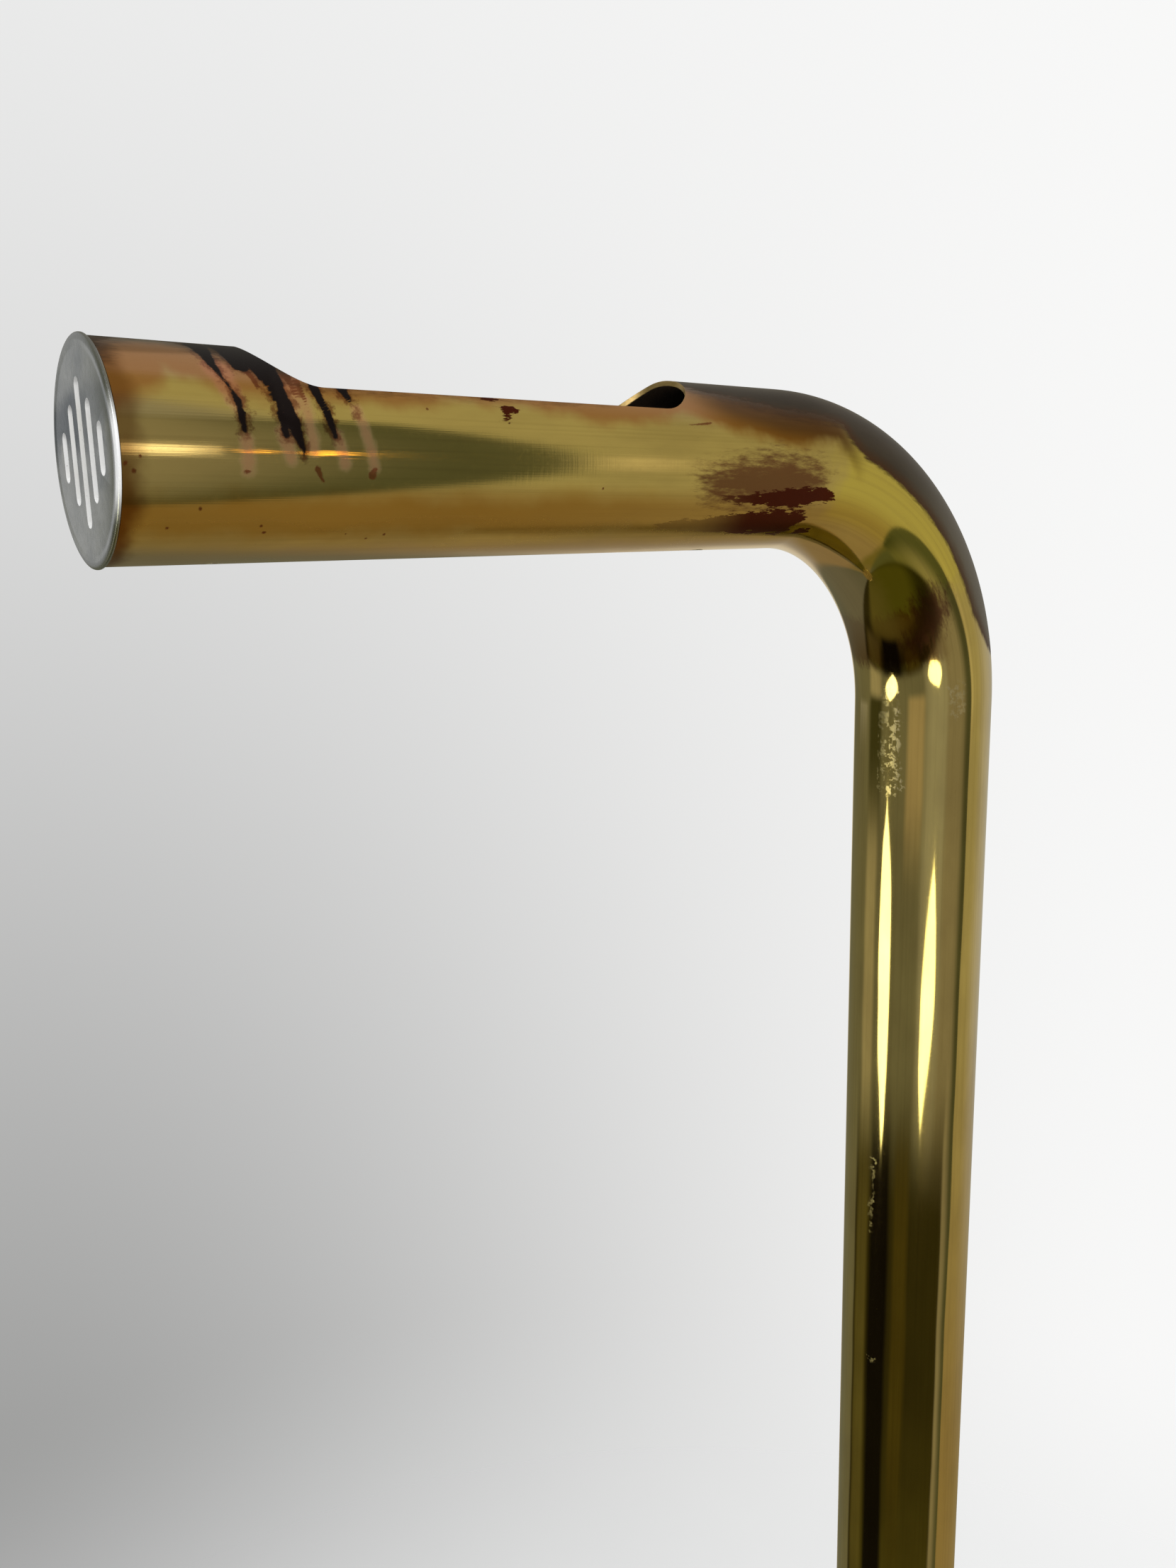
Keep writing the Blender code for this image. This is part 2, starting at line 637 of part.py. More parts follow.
def lamp_contacts():
    """The fixed contact of the front holder, and the sprung one of the rear holder."""
    nose = LAMP_CONTACT_SPAN / 2 + TOUCH
    front_back = HOLDER_FACE + HOLDER_FRONT_LENGTH
    stud = [
        (0, front_back + 4 * MM),
        (1.2 * MM, front_back + 4 * MM),
        (1.2 * MM, front_back + 1.3 * MM),
        (3.2 * MM, front_back + 1.3 * MM),
        (3.2 * MM, front_back + TOUCH),
        (PLUNGER_NOSE_RADIUS, front_back + TOUCH),
        (PLUNGER_NOSE_RADIUS, nose + 0.5 * MM),
        (PLUNGER_NOSE_RADIUS - 0.5 * MM, nose),
        (0, nose),
    ]
    turned("fixed_contact", stud, STEEL, in_arm(LAMP_X, 0, 0), -X_AXIS, SMALL_SIDES)

    flange = HOLDER_FACE + HOLDER_RECESS_DEPTH + 4.5 * MM
    flange_back = flange + 1.2 * MM
    plunger = [
        (0, flange_back),
        (PLUNGER_FLANGE_RADIUS, flange_back),
        (PLUNGER_FLANGE_RADIUS, flange),
        (PLUNGER_NOSE_RADIUS, flange),
        (PLUNGER_NOSE_RADIUS, nose + 0.5 * MM),
        (PLUNGER_NOSE_RADIUS - 0.5 * MM, nose),
        (0, nose),
    ]
    turned("contact_plunger", plunger, STEEL, in_arm(LAMP_X, 0, 0), X_AXIS, SMALL_SIDES)

    back = HOLDER_FACE + HOLDER_REAR_LENGTH
    cup_face = back - 2.2 * MM
    cup = [
        (0, back + 3.5 * MM),
        (1.2 * MM, back + 3.5 * MM),
        (1.2 * MM, back),
        (SPRING_CHAMBER_RADIUS - TOUCH, back),
        (SPRING_CHAMBER_RADIUS - TOUCH, cup_face),
        (0, cup_face),
    ]
    turned("contact_terminal", cup, STEEL, in_arm(LAMP_X, 0, 0), X_AXIS, SMALL_SIDES)

    clear = TOUCH + SPRING_WIRE_RADIUS
    low = LAMP_X + flange_back + clear
    high = LAMP_X + cup_face - clear
    steps = SPRING_TURNS * 8
    path = []
    for i in range(steps + 1):
        angle = 2 * math.pi * i * SPRING_TURNS / steps
        x = low + (high - low) * i / steps
        path.append(in_arm(x, SPRING_RADIUS * math.cos(angle), SPRING_RADIUS * math.sin(angle)))
    swept("contact_spring", path, SPRING_WIRE_RADIUS, 1, STEEL)


# ---------------------------------------------------------------- chassis and wiring of the arm


def chassis():
    low = in_arm(STRIP_LOW_X, -STRIP_HALF_WIDTH, STRIP_BOTTOM)
    high = in_arm(STRIP_HIGH_X, STRIP_HALF_WIDTH, STRIP_TOP)
    strip = box("chassis_strip", low, high, STEEL)
    tabs = (
        ("front", LAMP_X - HOLDER_FACE - HOLDER_FRONT_LENGTH - TOUCH - STRIP_THICKNESS),
        ("rear", LAMP_X + HOLDER_FACE + HOLDER_REAR_LENGTH + TOUCH),
    )
    for end, x in tabs:
        tab_low = in_arm(x, -STRIP_HALF_WIDTH + 0.1 * MM, STRIP_BOTTOM + 0.3 * MM)
        tab_high = in_arm(x + STRIP_THICKNESS, STRIP_HALF_WIDTH - 0.1 * MM, TAB_TOP)
        boolean(strip, box(f"tab_{end}", tab_low, tab_high, None), "UNION")
        hole_low = in_arm(x - 2 * MM, 0, HOLDER_SCREW_Z)
        hole_high = in_arm(x + STRIP_THICKNESS + 2 * MM, 0, HOLDER_SCREW_Z)
        boolean(strip, cylinder(f"tab_hole_{end}", hole_low, hole_high, M3_HOLE))
    screw_places = (
        CHASSIS_SCREW_FRONT_X,
        CHASSIS_SCREW_REAR_X,
        LAMP_X - REFLECTOR_SCREW_OFFSET,
        LAMP_X + REFLECTOR_SCREW_OFFSET,
        (BLOCK_LOW_X + BLOCK_HIGH_X) / 2,
    )
    for index, x in enumerate(screw_places):
        hole_low = in_arm(x, 0, STRIP_BOTTOM - 2 * MM)
        hole_high = in_arm(x, 0, STRIP_TOP + 2 * MM)
        boolean(strip, cylinder(f"strip_hole_{index}", hole_low, hole_high, M3_HOLE))


def chassis_screws():
    """Countersunk screws from below; the rear one also holds the earth tag under its nut."""
    places = (("front", CHASSIS_SCREW_FRONT_X, -20.8 * MM), ("rear", CHASSIS_SCREW_REAR_X, -17.4 * MM))
    for end, x, top in places:
        head_face = -TUBE_RADIUS
        profile = [
            (0, top),
            (M3_RADIUS - 0.3 * MM, top),
            (M3_RADIUS, top - 0.3 * MM),
            (M3_RADIUS, head_face + 1.5 * MM),
            (2.9 * MM, head_face + 0.15 * MM),
            (2.9 * MM, head_face),
            (0, head_face),
        ]
        turned(f"chassis_screw_{end}", profile, STEEL, in_arm(x, 0, 0), Z_AXIS, SMALL_SIDES)
    tag_bottom = STRIP_TOP + TOUCH
    tag_top = tag_bottom + 0.8 * MM
    tag_origin = in_arm(CHASSIS_SCREW_REAR_X, 0, 0)
    ring("earth_tag", 3.5 * MM, M3_HOLE, tag_bottom, tag_top, NICKEL, tag_origin, Z_AXIS, SMALL_SIDES)
    nut_height = 2.2 * MM
    centre = in_arm(CHASSIS_SCREW_REAR_X, 0, tag_top + TOUCH + nut_height / 2)
    nut = prism("earth_nut", hexagon(5.5 * MM), nut_height, centre, Z_AXIS, STEEL)
    above = centre + Z_AXIS * 3 * MM
    boolean(nut, cylinder("earth_nut_hole", centre - Z_AXIS * 3 * MM, above, M3_HOLE))


def terminal_block():
    low = in_arm(BLOCK_LOW_X, -BLOCK_HALF_WIDTH, BLOCK_BOTTOM)
    high = in_arm(BLOCK_HIGH_X, BLOCK_HALF_WIDTH, BLOCK_TOP)
    block = box("terminal_block", low, high, CERAMIC, bevel=0.8 * MM)
    for pole in (-1, 0, 1):
        start = in_arm(BLOCK_LOW_X - 2 * MM, pole * POLE_PITCH, WIRE_Z)
        end = in_arm(BLOCK_LOW_X + POLE_HOLE_DEPTH, pole * POLE_PITCH, WIRE_Z)
        boolean(block, cylinder(f"pole_hole_{pole + 1}", start, end, POLE_HOLE_RADIUS))
    middle = (BLOCK_LOW_X + BLOCK_HIGH_X) / 2
    hole_low = in_arm(middle, 0, BLOCK_BOTTOM - 2 * MM)
    hole_high = in_arm(middle, 0, BLOCK_TOP + 2 * MM)
    boolean(block, cylinder("block_screw_hole", hole_low, hole_high, M3_HOLE))
    machine_screw(
        "terminal_block_screw",
        in_arm(middle, 0, STRIP_BOTTOM - 0.2 * MM),
        in_arm(middle, 0, BLOCK_TOP + TOUCH),
        2.6 * MM,
        1.6 * MM,
        Y_AXIS,
    )


def arm_wires():
    """Heat-proof wires from both holders, and the earth wire, to the terminal block."""
    entry = BLOCK_LOW_X + POLE_HOLE_DEPTH - TOUCH
    stud_end = LAMP_X - HOLDER_FACE - HOLDER_FRONT_LENGTH - 4 * MM - TOUCH
    front_route = [
        in_arm(stud_end, 0, 0),
        in_arm(-275 * MM, 1.5 * MM, -0.5 * MM),
        in_arm(-278 * MM, 7 * MM, -5 * MM),
        in_arm(-275 * MM, 10.2 * MM, -13 * MM),
        in_arm(-266 * MM, 9.8 * MM, -19 * MM),
        in_arm(-250 * MM, 9.5 * MM, -20 * MM),
        in_arm(-200 * MM, 9.5 * MM, -20 * MM),
        in_arm(-150 * MM, 9.5 * MM, -20 * MM),
        in_arm(-128 * MM, 9.5 * MM, -19.8 * MM),
        in_arm(-119 * MM, 8.2 * MM, -17 * MM),
        in_arm(-112 * MM, POLE_PITCH + 1 * MM, WIRE_Z),
        in_arm(BLOCK_LOW_X - 1 * MM, POLE_PITCH, WIRE_Z),
        in_arm(entry - 2 * MM, POLE_PITCH, WIRE_Z),
        in_arm(entry, POLE_PITCH, WIRE_Z),
    ]
    swept("lamp_wire_front", smooth_path(front_route, 18 * MM), LAMP_WIRE_RADIUS, 2, SLEEVE)
    cup_end = LAMP_X + HOLDER_FACE + HOLDER_REAR_LENGTH + 3.5 * MM + TOUCH
    rear_route = [
        in_arm(cup_end, 0, 0),
        in_arm(cup_end + 3 * MM, -0.5 * MM, -0.8 * MM),
        in_arm(-114 * MM, -3.5 * MM, -7 * MM),
        in_arm(-111.5 * MM, -POLE_PITCH, -12.4 * MM),
        in_arm(BLOCK_LOW_X - 0.6 * MM, -POLE_PITCH, WIRE_Z),
        in_arm(entry - 2 * MM, -POLE_PITCH, WIRE_Z),
        in_arm(entry, -POLE_PITCH, WIRE_Z),
    ]
    swept("lamp_wire_rear", smooth_path(rear_route, 3 * MM), LAMP_WIRE_RADIUS, 2, SLEEVE)
    tag_edge = CHASSIS_SCREW_REAR_X + 3.5 * MM + TOUCH
    earth_route = [
        in_arm(tag_edge + 0.2 * MM, 0, STRIP_TOP + 1.1 * MM + TOUCH),
        in_arm(-111.4 * MM, 0, -18.8 * MM),
        in_arm(-110.7 * MM, 0, -15 * MM),
        in_arm(BLOCK_LOW_X - 0.6 * MM, 0, WIRE_Z),
        in_arm(entry - 2 * MM, 0, WIRE_Z),
        in_arm(entry, 0, WIRE_Z),
    ]
    swept("earth_wire", smooth_path(earth_route, 2 * MM), 0.9 * MM, 2, EARTH_GREEN)


def upper_lead():
    """Sheathed lead from the terminal block round the bend and down to the dimmer."""
    dimmer_top = DIMMER_Z + DIMMER_HALF_HEIGHT + TOUCH
    lead_radius_in_bend = BEND_RADIUS - 10 * MM
    centre = (-BEND_RADIUS, ARM_Z - BEND_RADIUS)
    start = BLOCK_HIGH_X + TOUCH
    route = [in_arm(start, 0, WIRE_Z), in_arm(start + 3 * MM, 0, WIRE_Z)]
    route += [(x, 0, z) for x, z in arc(centre, lead_radius_in_bend, 80, 4, 6)]
    route += [
        (-6 * MM, 0, ARM_Z - 170 * MM),
        (-2 * MM, -4 * MM, ARM_Z - 320 * MM),
        (0, -6 * MM, ARM_Z - 480 * MM),
        (0, -6 * MM, dimmer_top + 60 * MM),
        (0, -6 * MM, dimmer_top),
    ]
    swept("upper_lead", smooth_path(route, 30 * MM), LEAD_RADIUS, 2, LEAD_BLACK)


def lower_lead():
    """Sheathed lead from the dimmer down the post to the terminal block in the base."""
    dimmer_bottom = DIMMER_Z - DIMMER_HALF_HEIGHT - TOUCH
    route = [
        (0, -6 * MM, dimmer_bottom),
        (0, -6 * MM, dimmer_bottom - 60 * MM),
        (2 * MM, -5 * MM, 800 * MM),
        (6 * MM, -1 * MM, 450 * MM),
        (12 * MM, 0, 200 * MM),
        (16.5 * MM, 0, 100 * MM),
        (LEAD_HOLE_X, 0, PLUG_TOP),
        (LEAD_HOLE_X, 0, 40 * MM),
        (LEAD_HOLE_X, 0, 22 * MM),
        (18.6 * MM, 0, 15.5 * MM),
        (23 * MM, 0, 11.4 * MM),
        (30 * MM, 0, BASE_LEAD_Z),
        (40 * MM, 0, BASE_LEAD_Z),
        (BASE_BLOCK_LOW_X - TOUCH, 0, BASE_LEAD_Z),
    ]
    swept("lower_lead", smooth_path(route, 45 * MM), LEAD_RADIUS, 2, LEAD_BLACK)


# ---------------------------------------------------------------- dimmer on the post


def on_dimmer(distance, x=0.0, z=0.0):
    """A place on the dimmer's axis, at a distance from the post's axis towards -Y."""
    return Vector((x, -distance, DIMMER_Z + z))


def dimmer():
    low = on_dimmer(DIMMER_FRONT, -DIMMER_HALF_WIDTH, -DIMMER_HALF_HEIGHT)
    high = on_dimmer(DIMMER_BACK, DIMMER_HALF_WIDTH, DIMMER_HALF_HEIGHT)
    body = box("dimmer_body", low, high, BAKELITE, bevel=1 * MM)
    shaft_start = DIMMER_FRONT - 6 * MM
    socket = cylinder("shaft_socket", on_dimmer(shaft_start), on_dimmer(DIMMER_FRONT + 2 * MM), SHAFT_HOLE)
    boolean(body, socket)

    bush = [
        (SHAFT_HOLE, BUSH_END),
        (BUSH_RADIUS - 0.4 * MM, BUSH_END),
        (BUSH_RADIUS, BUSH_END - 0.4 * MM),
        (BUSH_RADIUS, BUSH_SHOULDER_END),
        (BUSH_SHOULDER_RADIUS, BUSH_SHOULDER_END),
        (BUSH_SHOULDER_RADIUS, DIMMER_FRONT + TOUCH),
        (SHAFT_HOLE, DIMMER_FRONT + TOUCH),
    ]
    turned("dimmer_bush", bush, NICKEL, on_dimmer(0), -Y_AXIS, HOLE_SIDES, closed=True)

    saddle = ring(
        "dimmer_saddle",
        SADDLE_RADIUS,
        BUSH_RADIUS + TOUCH,
        TUBE_RADIUS - 6 * MM,
        SADDLE_FRONT,
        POLISHED_BRASS,
        on_dimmer(0),
        -Y_AXIS,
        MEDIUM_SIDES,
    )
    post_low = on_dimmer(0, 0, -30 * MM)
    post_high = on_dimmer(0, 0, 30 * MM)
    boolean(saddle, cylinder("saddle_seat", post_low, post_high, TUBE_RADIUS + TOUCH, None, 72))

    nut_back = SADDLE_FRONT + TOUCH
    nut_centre = on_dimmer((NUT_FRONT + nut_back) / 2)
    nut = prism("dimmer_nut", hexagon(NUT_ACROSS_FLATS), NUT_FRONT - nut_back, nut_centre, Y_AXIS, NICKEL)
    hole_start, hole_end = on_dimmer(SADDLE_FRONT - 2 * MM), on_dimmer(NUT_FRONT + 2 * MM)
    boolean(nut, cylinder("dimmer_nut_hole", hole_start, hole_end, BUSH_RADIUS + TOUCH))

    shaft = [
        (0, SHAFT_END),
        (SHAFT_RADIUS - 0.4 * MM, SHAFT_END),
        (SHAFT_RADIUS, SHAFT_END - 0.4 * MM),
        (SHAFT_RADIUS, shaft_start + TOUCH),
        (0, shaft_start + TOUCH),
    ]
    turned("dimmer_shaft", shaft, STEEL, on_dimmer(0), -Y_AXIS, HOLE_SIDES)


def knob():
    edge = 1.2 * MM
    profile = [
        (0, KNOB_FRONT),
        (KNOB_RADIUS - edge, KNOB_FRONT),
        (KNOB_RADIUS - 0.3 * edge, KNOB_FRONT - 0.3 * edge),
        (KNOB_RADIUS, KNOB_FRONT - edge),
        (KNOB_RADIUS, KNOB_BACK + 0.5 * MM),
        (KNOB_RADIUS - 0.5 * MM, KNOB_BACK),
        (KNOB_RECESS_RADIUS, KNOB_BACK),
        (KNOB_RECESS_RADIUS, KNOB_RECESS_END),
        (SHAFT_HOLE, KNOB_RECESS_END),
        (SHAFT_HOLE, SHAFT_END + TOUCH),
        (0, SHAFT_END + TOUCH),
    ]
    obj = turned("dimmer_knob", profile, POLISHED_BRASS, on_dimmer(0), -Y_AXIS, MEDIUM_SIDES)
    mark_low = on_dimmer(KNOB_FRONT + 1 * MM, -0.5 * MM, 5 * MM)
    mark_high = on_dimmer(KNOB_FRONT - 0.5 * MM, 0.5 * MM, KNOB_RADIUS - 2 * MM)
    boolean(obj, box("knob_mark", mark_low, mark_high, None))
    hole_start = on_dimmer(SET_SCREW_AT, 0, -2 * MM)
    hole_end = on_dimmer(SET_SCREW_AT, 0, -KNOB_RADIUS - 2 * MM)
    boolean(obj, cylinder("set_screw_hole", hole_start, hole_end, M3_HOLE))
    inner = SHAFT_RADIUS + TOUCH
    outer = KNOB_RADIUS - 1 * MM
    screw = [
        (0, outer),
        (M3_RADIUS, outer),
        (M3_RADIUS, inner + 0.4 * MM),
        (M3_RADIUS - 0.4 * MM, inner),
        (0, inner),
    ]
    turned("knob_set_screw", screw, STEEL, on_dimmer(SET_SCREW_AT), -Z_AXIS, SMALL_SIDES)


# ---------------------------------------------------------------- base


def base_shell_profile(radius, top, rounding, low):
    """The upper outline of a round-edged disc, from its centre to its rim."""
    corner = (radius - rounding, top - rounding)
    return arc(corner, rounding, 90, 0, 3) + [(radius, low)]


def base_cover():
    hole = BOLT_RADIUS + 0.5 * MM
    outside = [(hole, BASE_TOP)] + base_shell_profile(BASE_RADIUS, BASE_TOP, BASE_ROUNDING, BASE_RIM_Z)
    inside_top = BASE_TOP - COVER_SHEET
    inside_rounding = BASE_ROUNDING - COVER_SHEET
    inside = [(hole, inside_top)]
    inside += base_shell_profile(BASE_RADIUS - COVER_SHEET, inside_top, inside_rounding, BASE_RIM_Z)
    cover = turned(
        "base_cover",
        outside + inside[::-1],
        POLISHED_BRASS,
        (0, 0, 0),
        Z_AXIS,
        LARGE_SIDES,
        closed=True,
    )
    boolean(cover, lead_hole_cutter("cover_lead_hole"))
    start = (BASE_RADIUS - 8 * MM, 0, BUSHING_Z)
    end = (BASE_RADIUS + 5 * MM, 0, BUSHING_Z)
    boolean(cover, cylinder("bushing_hole", start, end, BUSHING_NECK + TOUCH))


def lead_hole_cutter(name):
    return cylinder(name, (LEAD_HOLE_X, 0, GROOVE_TOP - 1 * MM), (LEAD_HOLE_X, 0, PLUG_TOP + 2 * MM), LEAD_HOLE_RADIUS)


def base_weight():
    profile = [(0, WEIGHT_TOP)] + base_shell_profile(WEIGHT_RADIUS, WEIGHT_TOP, WEIGHT_ROUNDING, WEIGHT_BOTTOM)
    profile.append((0, WEIGHT_BOTTOM))
    weight = turned("base_weight", profile, IRON, (0, 0, 0), Z_AXIS, LARGE_SIDES)
    below = WEIGHT_BOTTOM - 5 * MM
    washer_seat = BOLT_HEAD_TOP + TOUCH + WASHER_THICKNESS + TOUCH
    boolean(weight, cylinder("counterbore", (0, 0, below), (0, 0, washer_seat), COUNTERBORE_RADIUS, None, MEDIUM_SIDES))
    boolean(weight, cylinder("bolt_hole", (0, 0, below), (0, 0, BASE_TOP), BOLT_RADIUS + 0.5 * MM))
    boolean(weight, lead_hole_cutter("weight_lead_hole"))
    groove_low = (GROOVE_LOW_X, -GROOVE_HALF_WIDTH, below)
    groove_high = (WEIGHT_RADIUS + 5 * MM, GROOVE_HALF_WIDTH, GROOVE_TOP)
    boolean(weight, box("cord_groove", groove_low, groove_high, None))


def foot():
    """What joins the post to the base: a plug in the tube, and a bolt from below."""
    bore = BOLT_RADIUS + TOUCH
    edge = 1 * MM
    profile = [
        (bore, PLUG_TOP),
        (PLUG_RADIUS - edge, PLUG_TOP),
        (PLUG_RADIUS, PLUG_TOP - edge),
        (PLUG_RADIUS, TUBE_FOOT_Z),
        (bore, TUBE_FOOT_Z),
    ]
    plug = turned("foot_plug", profile, STEEL, (0, 0, 0), Z_AXIS, MEDIUM_SIDES, closed=True)
    boolean(plug, lead_hole_cutter("plug_lead_hole"))

    washer_low = BOLT_HEAD_TOP + TOUCH
    washer_high = washer_low + WASHER_THICKNESS
    ring("foot_washer", WASHER_RADIUS, bore, washer_low, washer_high, STEEL, (0, 0, 0), Z_AXIS, MEDIUM_SIDES)

    head_centre = (0, 0, BOLT_HEAD_TOP - BOLT_HEAD_HEIGHT / 2)
    bolt = prism("foot_bolt", hexagon(BOLT_HEAD_ACROSS_FLATS), BOLT_HEAD_HEIGHT, head_centre, Z_AXIS, STEEL)
    shank_low = (0, 0, BOLT_HEAD_TOP - 1 * MM)
    shank_high = (0, 0, PLUG_TOP - 4 * MM)
    boolean(bolt, cylinder("bolt_shank", shank_low, shank_high, BOLT_RADIUS), "UNION")


def post_collar():
    inner = TUBE_RADIUS + 0.4 * MM
    low = BASE_TOP + TOUCH
    high = low + COLLAR_HEIGHT
    rounding = 4 * MM
    corner = (COLLAR_RADIUS - rounding, high - rounding)
    profile = [(inner, high)] + arc(corner, rounding, 90, 0, 3) + [(COLLAR_RADIUS, low), (inner, low)]
    turned("post_collar", profile, POLISHED_BRASS, (0, 0, 0), Z_AXIS, MEDIUM_SIDES, closed=True)


def base_pad():
    edge = 0.5 * MM
    profile = [
        (0, PAD_TOP),
        (PAD_RADIUS - edge, PAD_TOP),
        (PAD_RADIUS, PAD_TOP - edge),
        (PAD_RADIUS, 0),
        (0, 0),
    ]
    turned("base_pad", profile, FELT, (0, 0, 0), Z_AXIS, LARGE_SIDES)


def base_fittings():
    """The bushing where a supply cord enters, and the terminal block behind it."""
    inner_flange = BASE_RADIUS - COVER_SHEET - 0.5 * MM
    outer_flange = BASE_RADIUS + TOUCH
    profile = [
        (BUSHING_BORE, outer_flange + 3 * MM),
        (BUSHING_FLANGE - 1.2 * MM, outer_flange + 3 * MM),
        (BUSHING_FLANGE, outer_flange + 1.8 * MM),
        (BUSHING_FLANGE, outer_flange),
        (BUSHING_NECK, outer_flange),
        (BUSHING_NECK, inner_flange),
        (BUSHING_FLANGE - 0.6 * MM, inner_flange),
        (BUSHING_FLANGE - 0.6 * MM, inner_flange - 1.8 * MM),
        (BUSHING_BORE, inner_flange - 1.8 * MM),
    ]
    turned("cord_bushing", profile, BAKELITE, (0, 0, BUSHING_Z), X_AXIS, HOLE_SIDES, closed=True)
    low = (BASE_BLOCK_LOW_X, -GROOVE_HALF_WIDTH + 1 * MM, WEIGHT_BOTTOM + 1 * MM)
    high = (BASE_BLOCK_HIGH_X, GROOVE_HALF_WIDTH - 1 * MM, GROOVE_TOP - 2 * MM)
    box("base_terminal_block", low, high, BAKELITE, bevel=0.8 * MM)


def main():
    bent_tube()
    vent_cap()
    lamp()
    reflector()
    lampholders()
    lamp_contacts()
    chassis()
    chassis_screws()
    terminal_block()
    arm_wires()
    upper_lead()
    lower_lead()
    dimmer()
    knob()
    base_cover()
    base_weight()
    foot()
    post_collar()
    base_pad()
    base_fittings()


main()
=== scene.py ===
"""Looks for the tubular brass uplighter floor lamp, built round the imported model.

Distances are in metres in the frame of the model. The tube's own coordinates are s, the distance
along its centre line from the arm's open end, and g, the girth measured from its outer line (the
crown of the arm, the outside of the bend) towards -Y.
"""

import math

import bmesh
import bpy
import numpy as np
from mathutils import Matrix, Vector


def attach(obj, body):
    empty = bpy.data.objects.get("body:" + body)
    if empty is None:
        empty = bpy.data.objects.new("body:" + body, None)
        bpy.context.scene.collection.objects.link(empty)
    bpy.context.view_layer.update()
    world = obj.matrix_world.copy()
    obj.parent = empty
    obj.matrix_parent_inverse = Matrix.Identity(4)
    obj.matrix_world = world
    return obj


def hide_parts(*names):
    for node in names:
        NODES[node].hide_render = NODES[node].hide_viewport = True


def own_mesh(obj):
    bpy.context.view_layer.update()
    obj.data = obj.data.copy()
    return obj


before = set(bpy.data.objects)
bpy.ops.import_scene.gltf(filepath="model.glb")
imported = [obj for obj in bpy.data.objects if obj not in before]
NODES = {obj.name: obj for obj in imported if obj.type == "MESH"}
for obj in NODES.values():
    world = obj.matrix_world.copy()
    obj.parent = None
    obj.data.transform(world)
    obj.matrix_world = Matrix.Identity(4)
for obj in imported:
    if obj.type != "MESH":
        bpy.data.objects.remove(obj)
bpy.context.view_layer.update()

MM = 0.001
DEGREES = 57.2958  # in one radian
X_AXIS = Vector((1, 0, 0))
Y_AXIS = Vector((0, 1, 0))
Z_AXIS = Vector((0, 0, 1))

# The tube
TUBE_RADIUS = 25.4 * MM
TUBE_INSIDE = 23.9 * MM
BEND_RADIUS = 85.0 * MM
ARM_Z = 1.775
ARM_END_X = -0.299
ARM_LENGTH = -BEND_RADIUS - ARM_END_X
BEND_END = ARM_LENGTH + BEND_RADIUS * math.pi / 2
TUBE_FOOT_Z = 0.0303
TUBE_LENGTH = BEND_END + ARM_Z - BEND_RADIUS - TUBE_FOOT_Z
DIMMER_Z = 1.1
DIMMER_S = BEND_END + ARM_Z - BEND_RADIUS - DIMMER_Z
DIMMER_BLOCK = 13 * MM  # half the length of the finer grid round the dimmer's hole
TUBE_SIDES = 160
OUTSIDE_FACE, INSIDE_FACE, CUT_FACE = range(3)  # the tube's materials, in their order on the mesh
CUT_EDGE = 0.12 * MM  # rounding of the cut edges
MERGE = 0.001 * MM  # points closer than this are one

# The opening, from above
OPENING_LOW_X = -264.8 * MM
OPENING_HIGH_X = -129.7 * MM
OPENING_HALF_WIDTH = 20.6 * MM
OPENING_CORNER = 15.0 * MM
LAMP_X = (OPENING_LOW_X + OPENING_HIGH_X) / 2

# The camera, with its lens and sensor in mm
CAMERA_PLACE = (-0.3755, -0.2927, 1.7522)
CAMERA_RIGHT = Vector((0.8033, -0.5951, -0.0231))
CAMERA_UP = Vector((0.1350, 0.1443, 0.9803))
SENSOR_SIZE = 36.0
FOCAL_LENGTH = 27.47

# The studio
FLOOR_HALF_SIZE = 7.0
FLOOR_FADES = (0.6, 2.2)  # distances from the post
LIGHTS = [
    ("key_light", (-1.7, -2.1, 3.1), (0, 0, 1.4), 1.8, 38.0),
    ("fill_light", (2.2, -1.2, 2.4), (0, 0, 1.2), 2.0, 14.0),
    ("back_light", (0.6, 2.4, 2.8), (0, 0, 1.3), 2.0, 14.0),
]  # name, place, aim, size, power


# ---------------------------------------------------------------- shader graphs


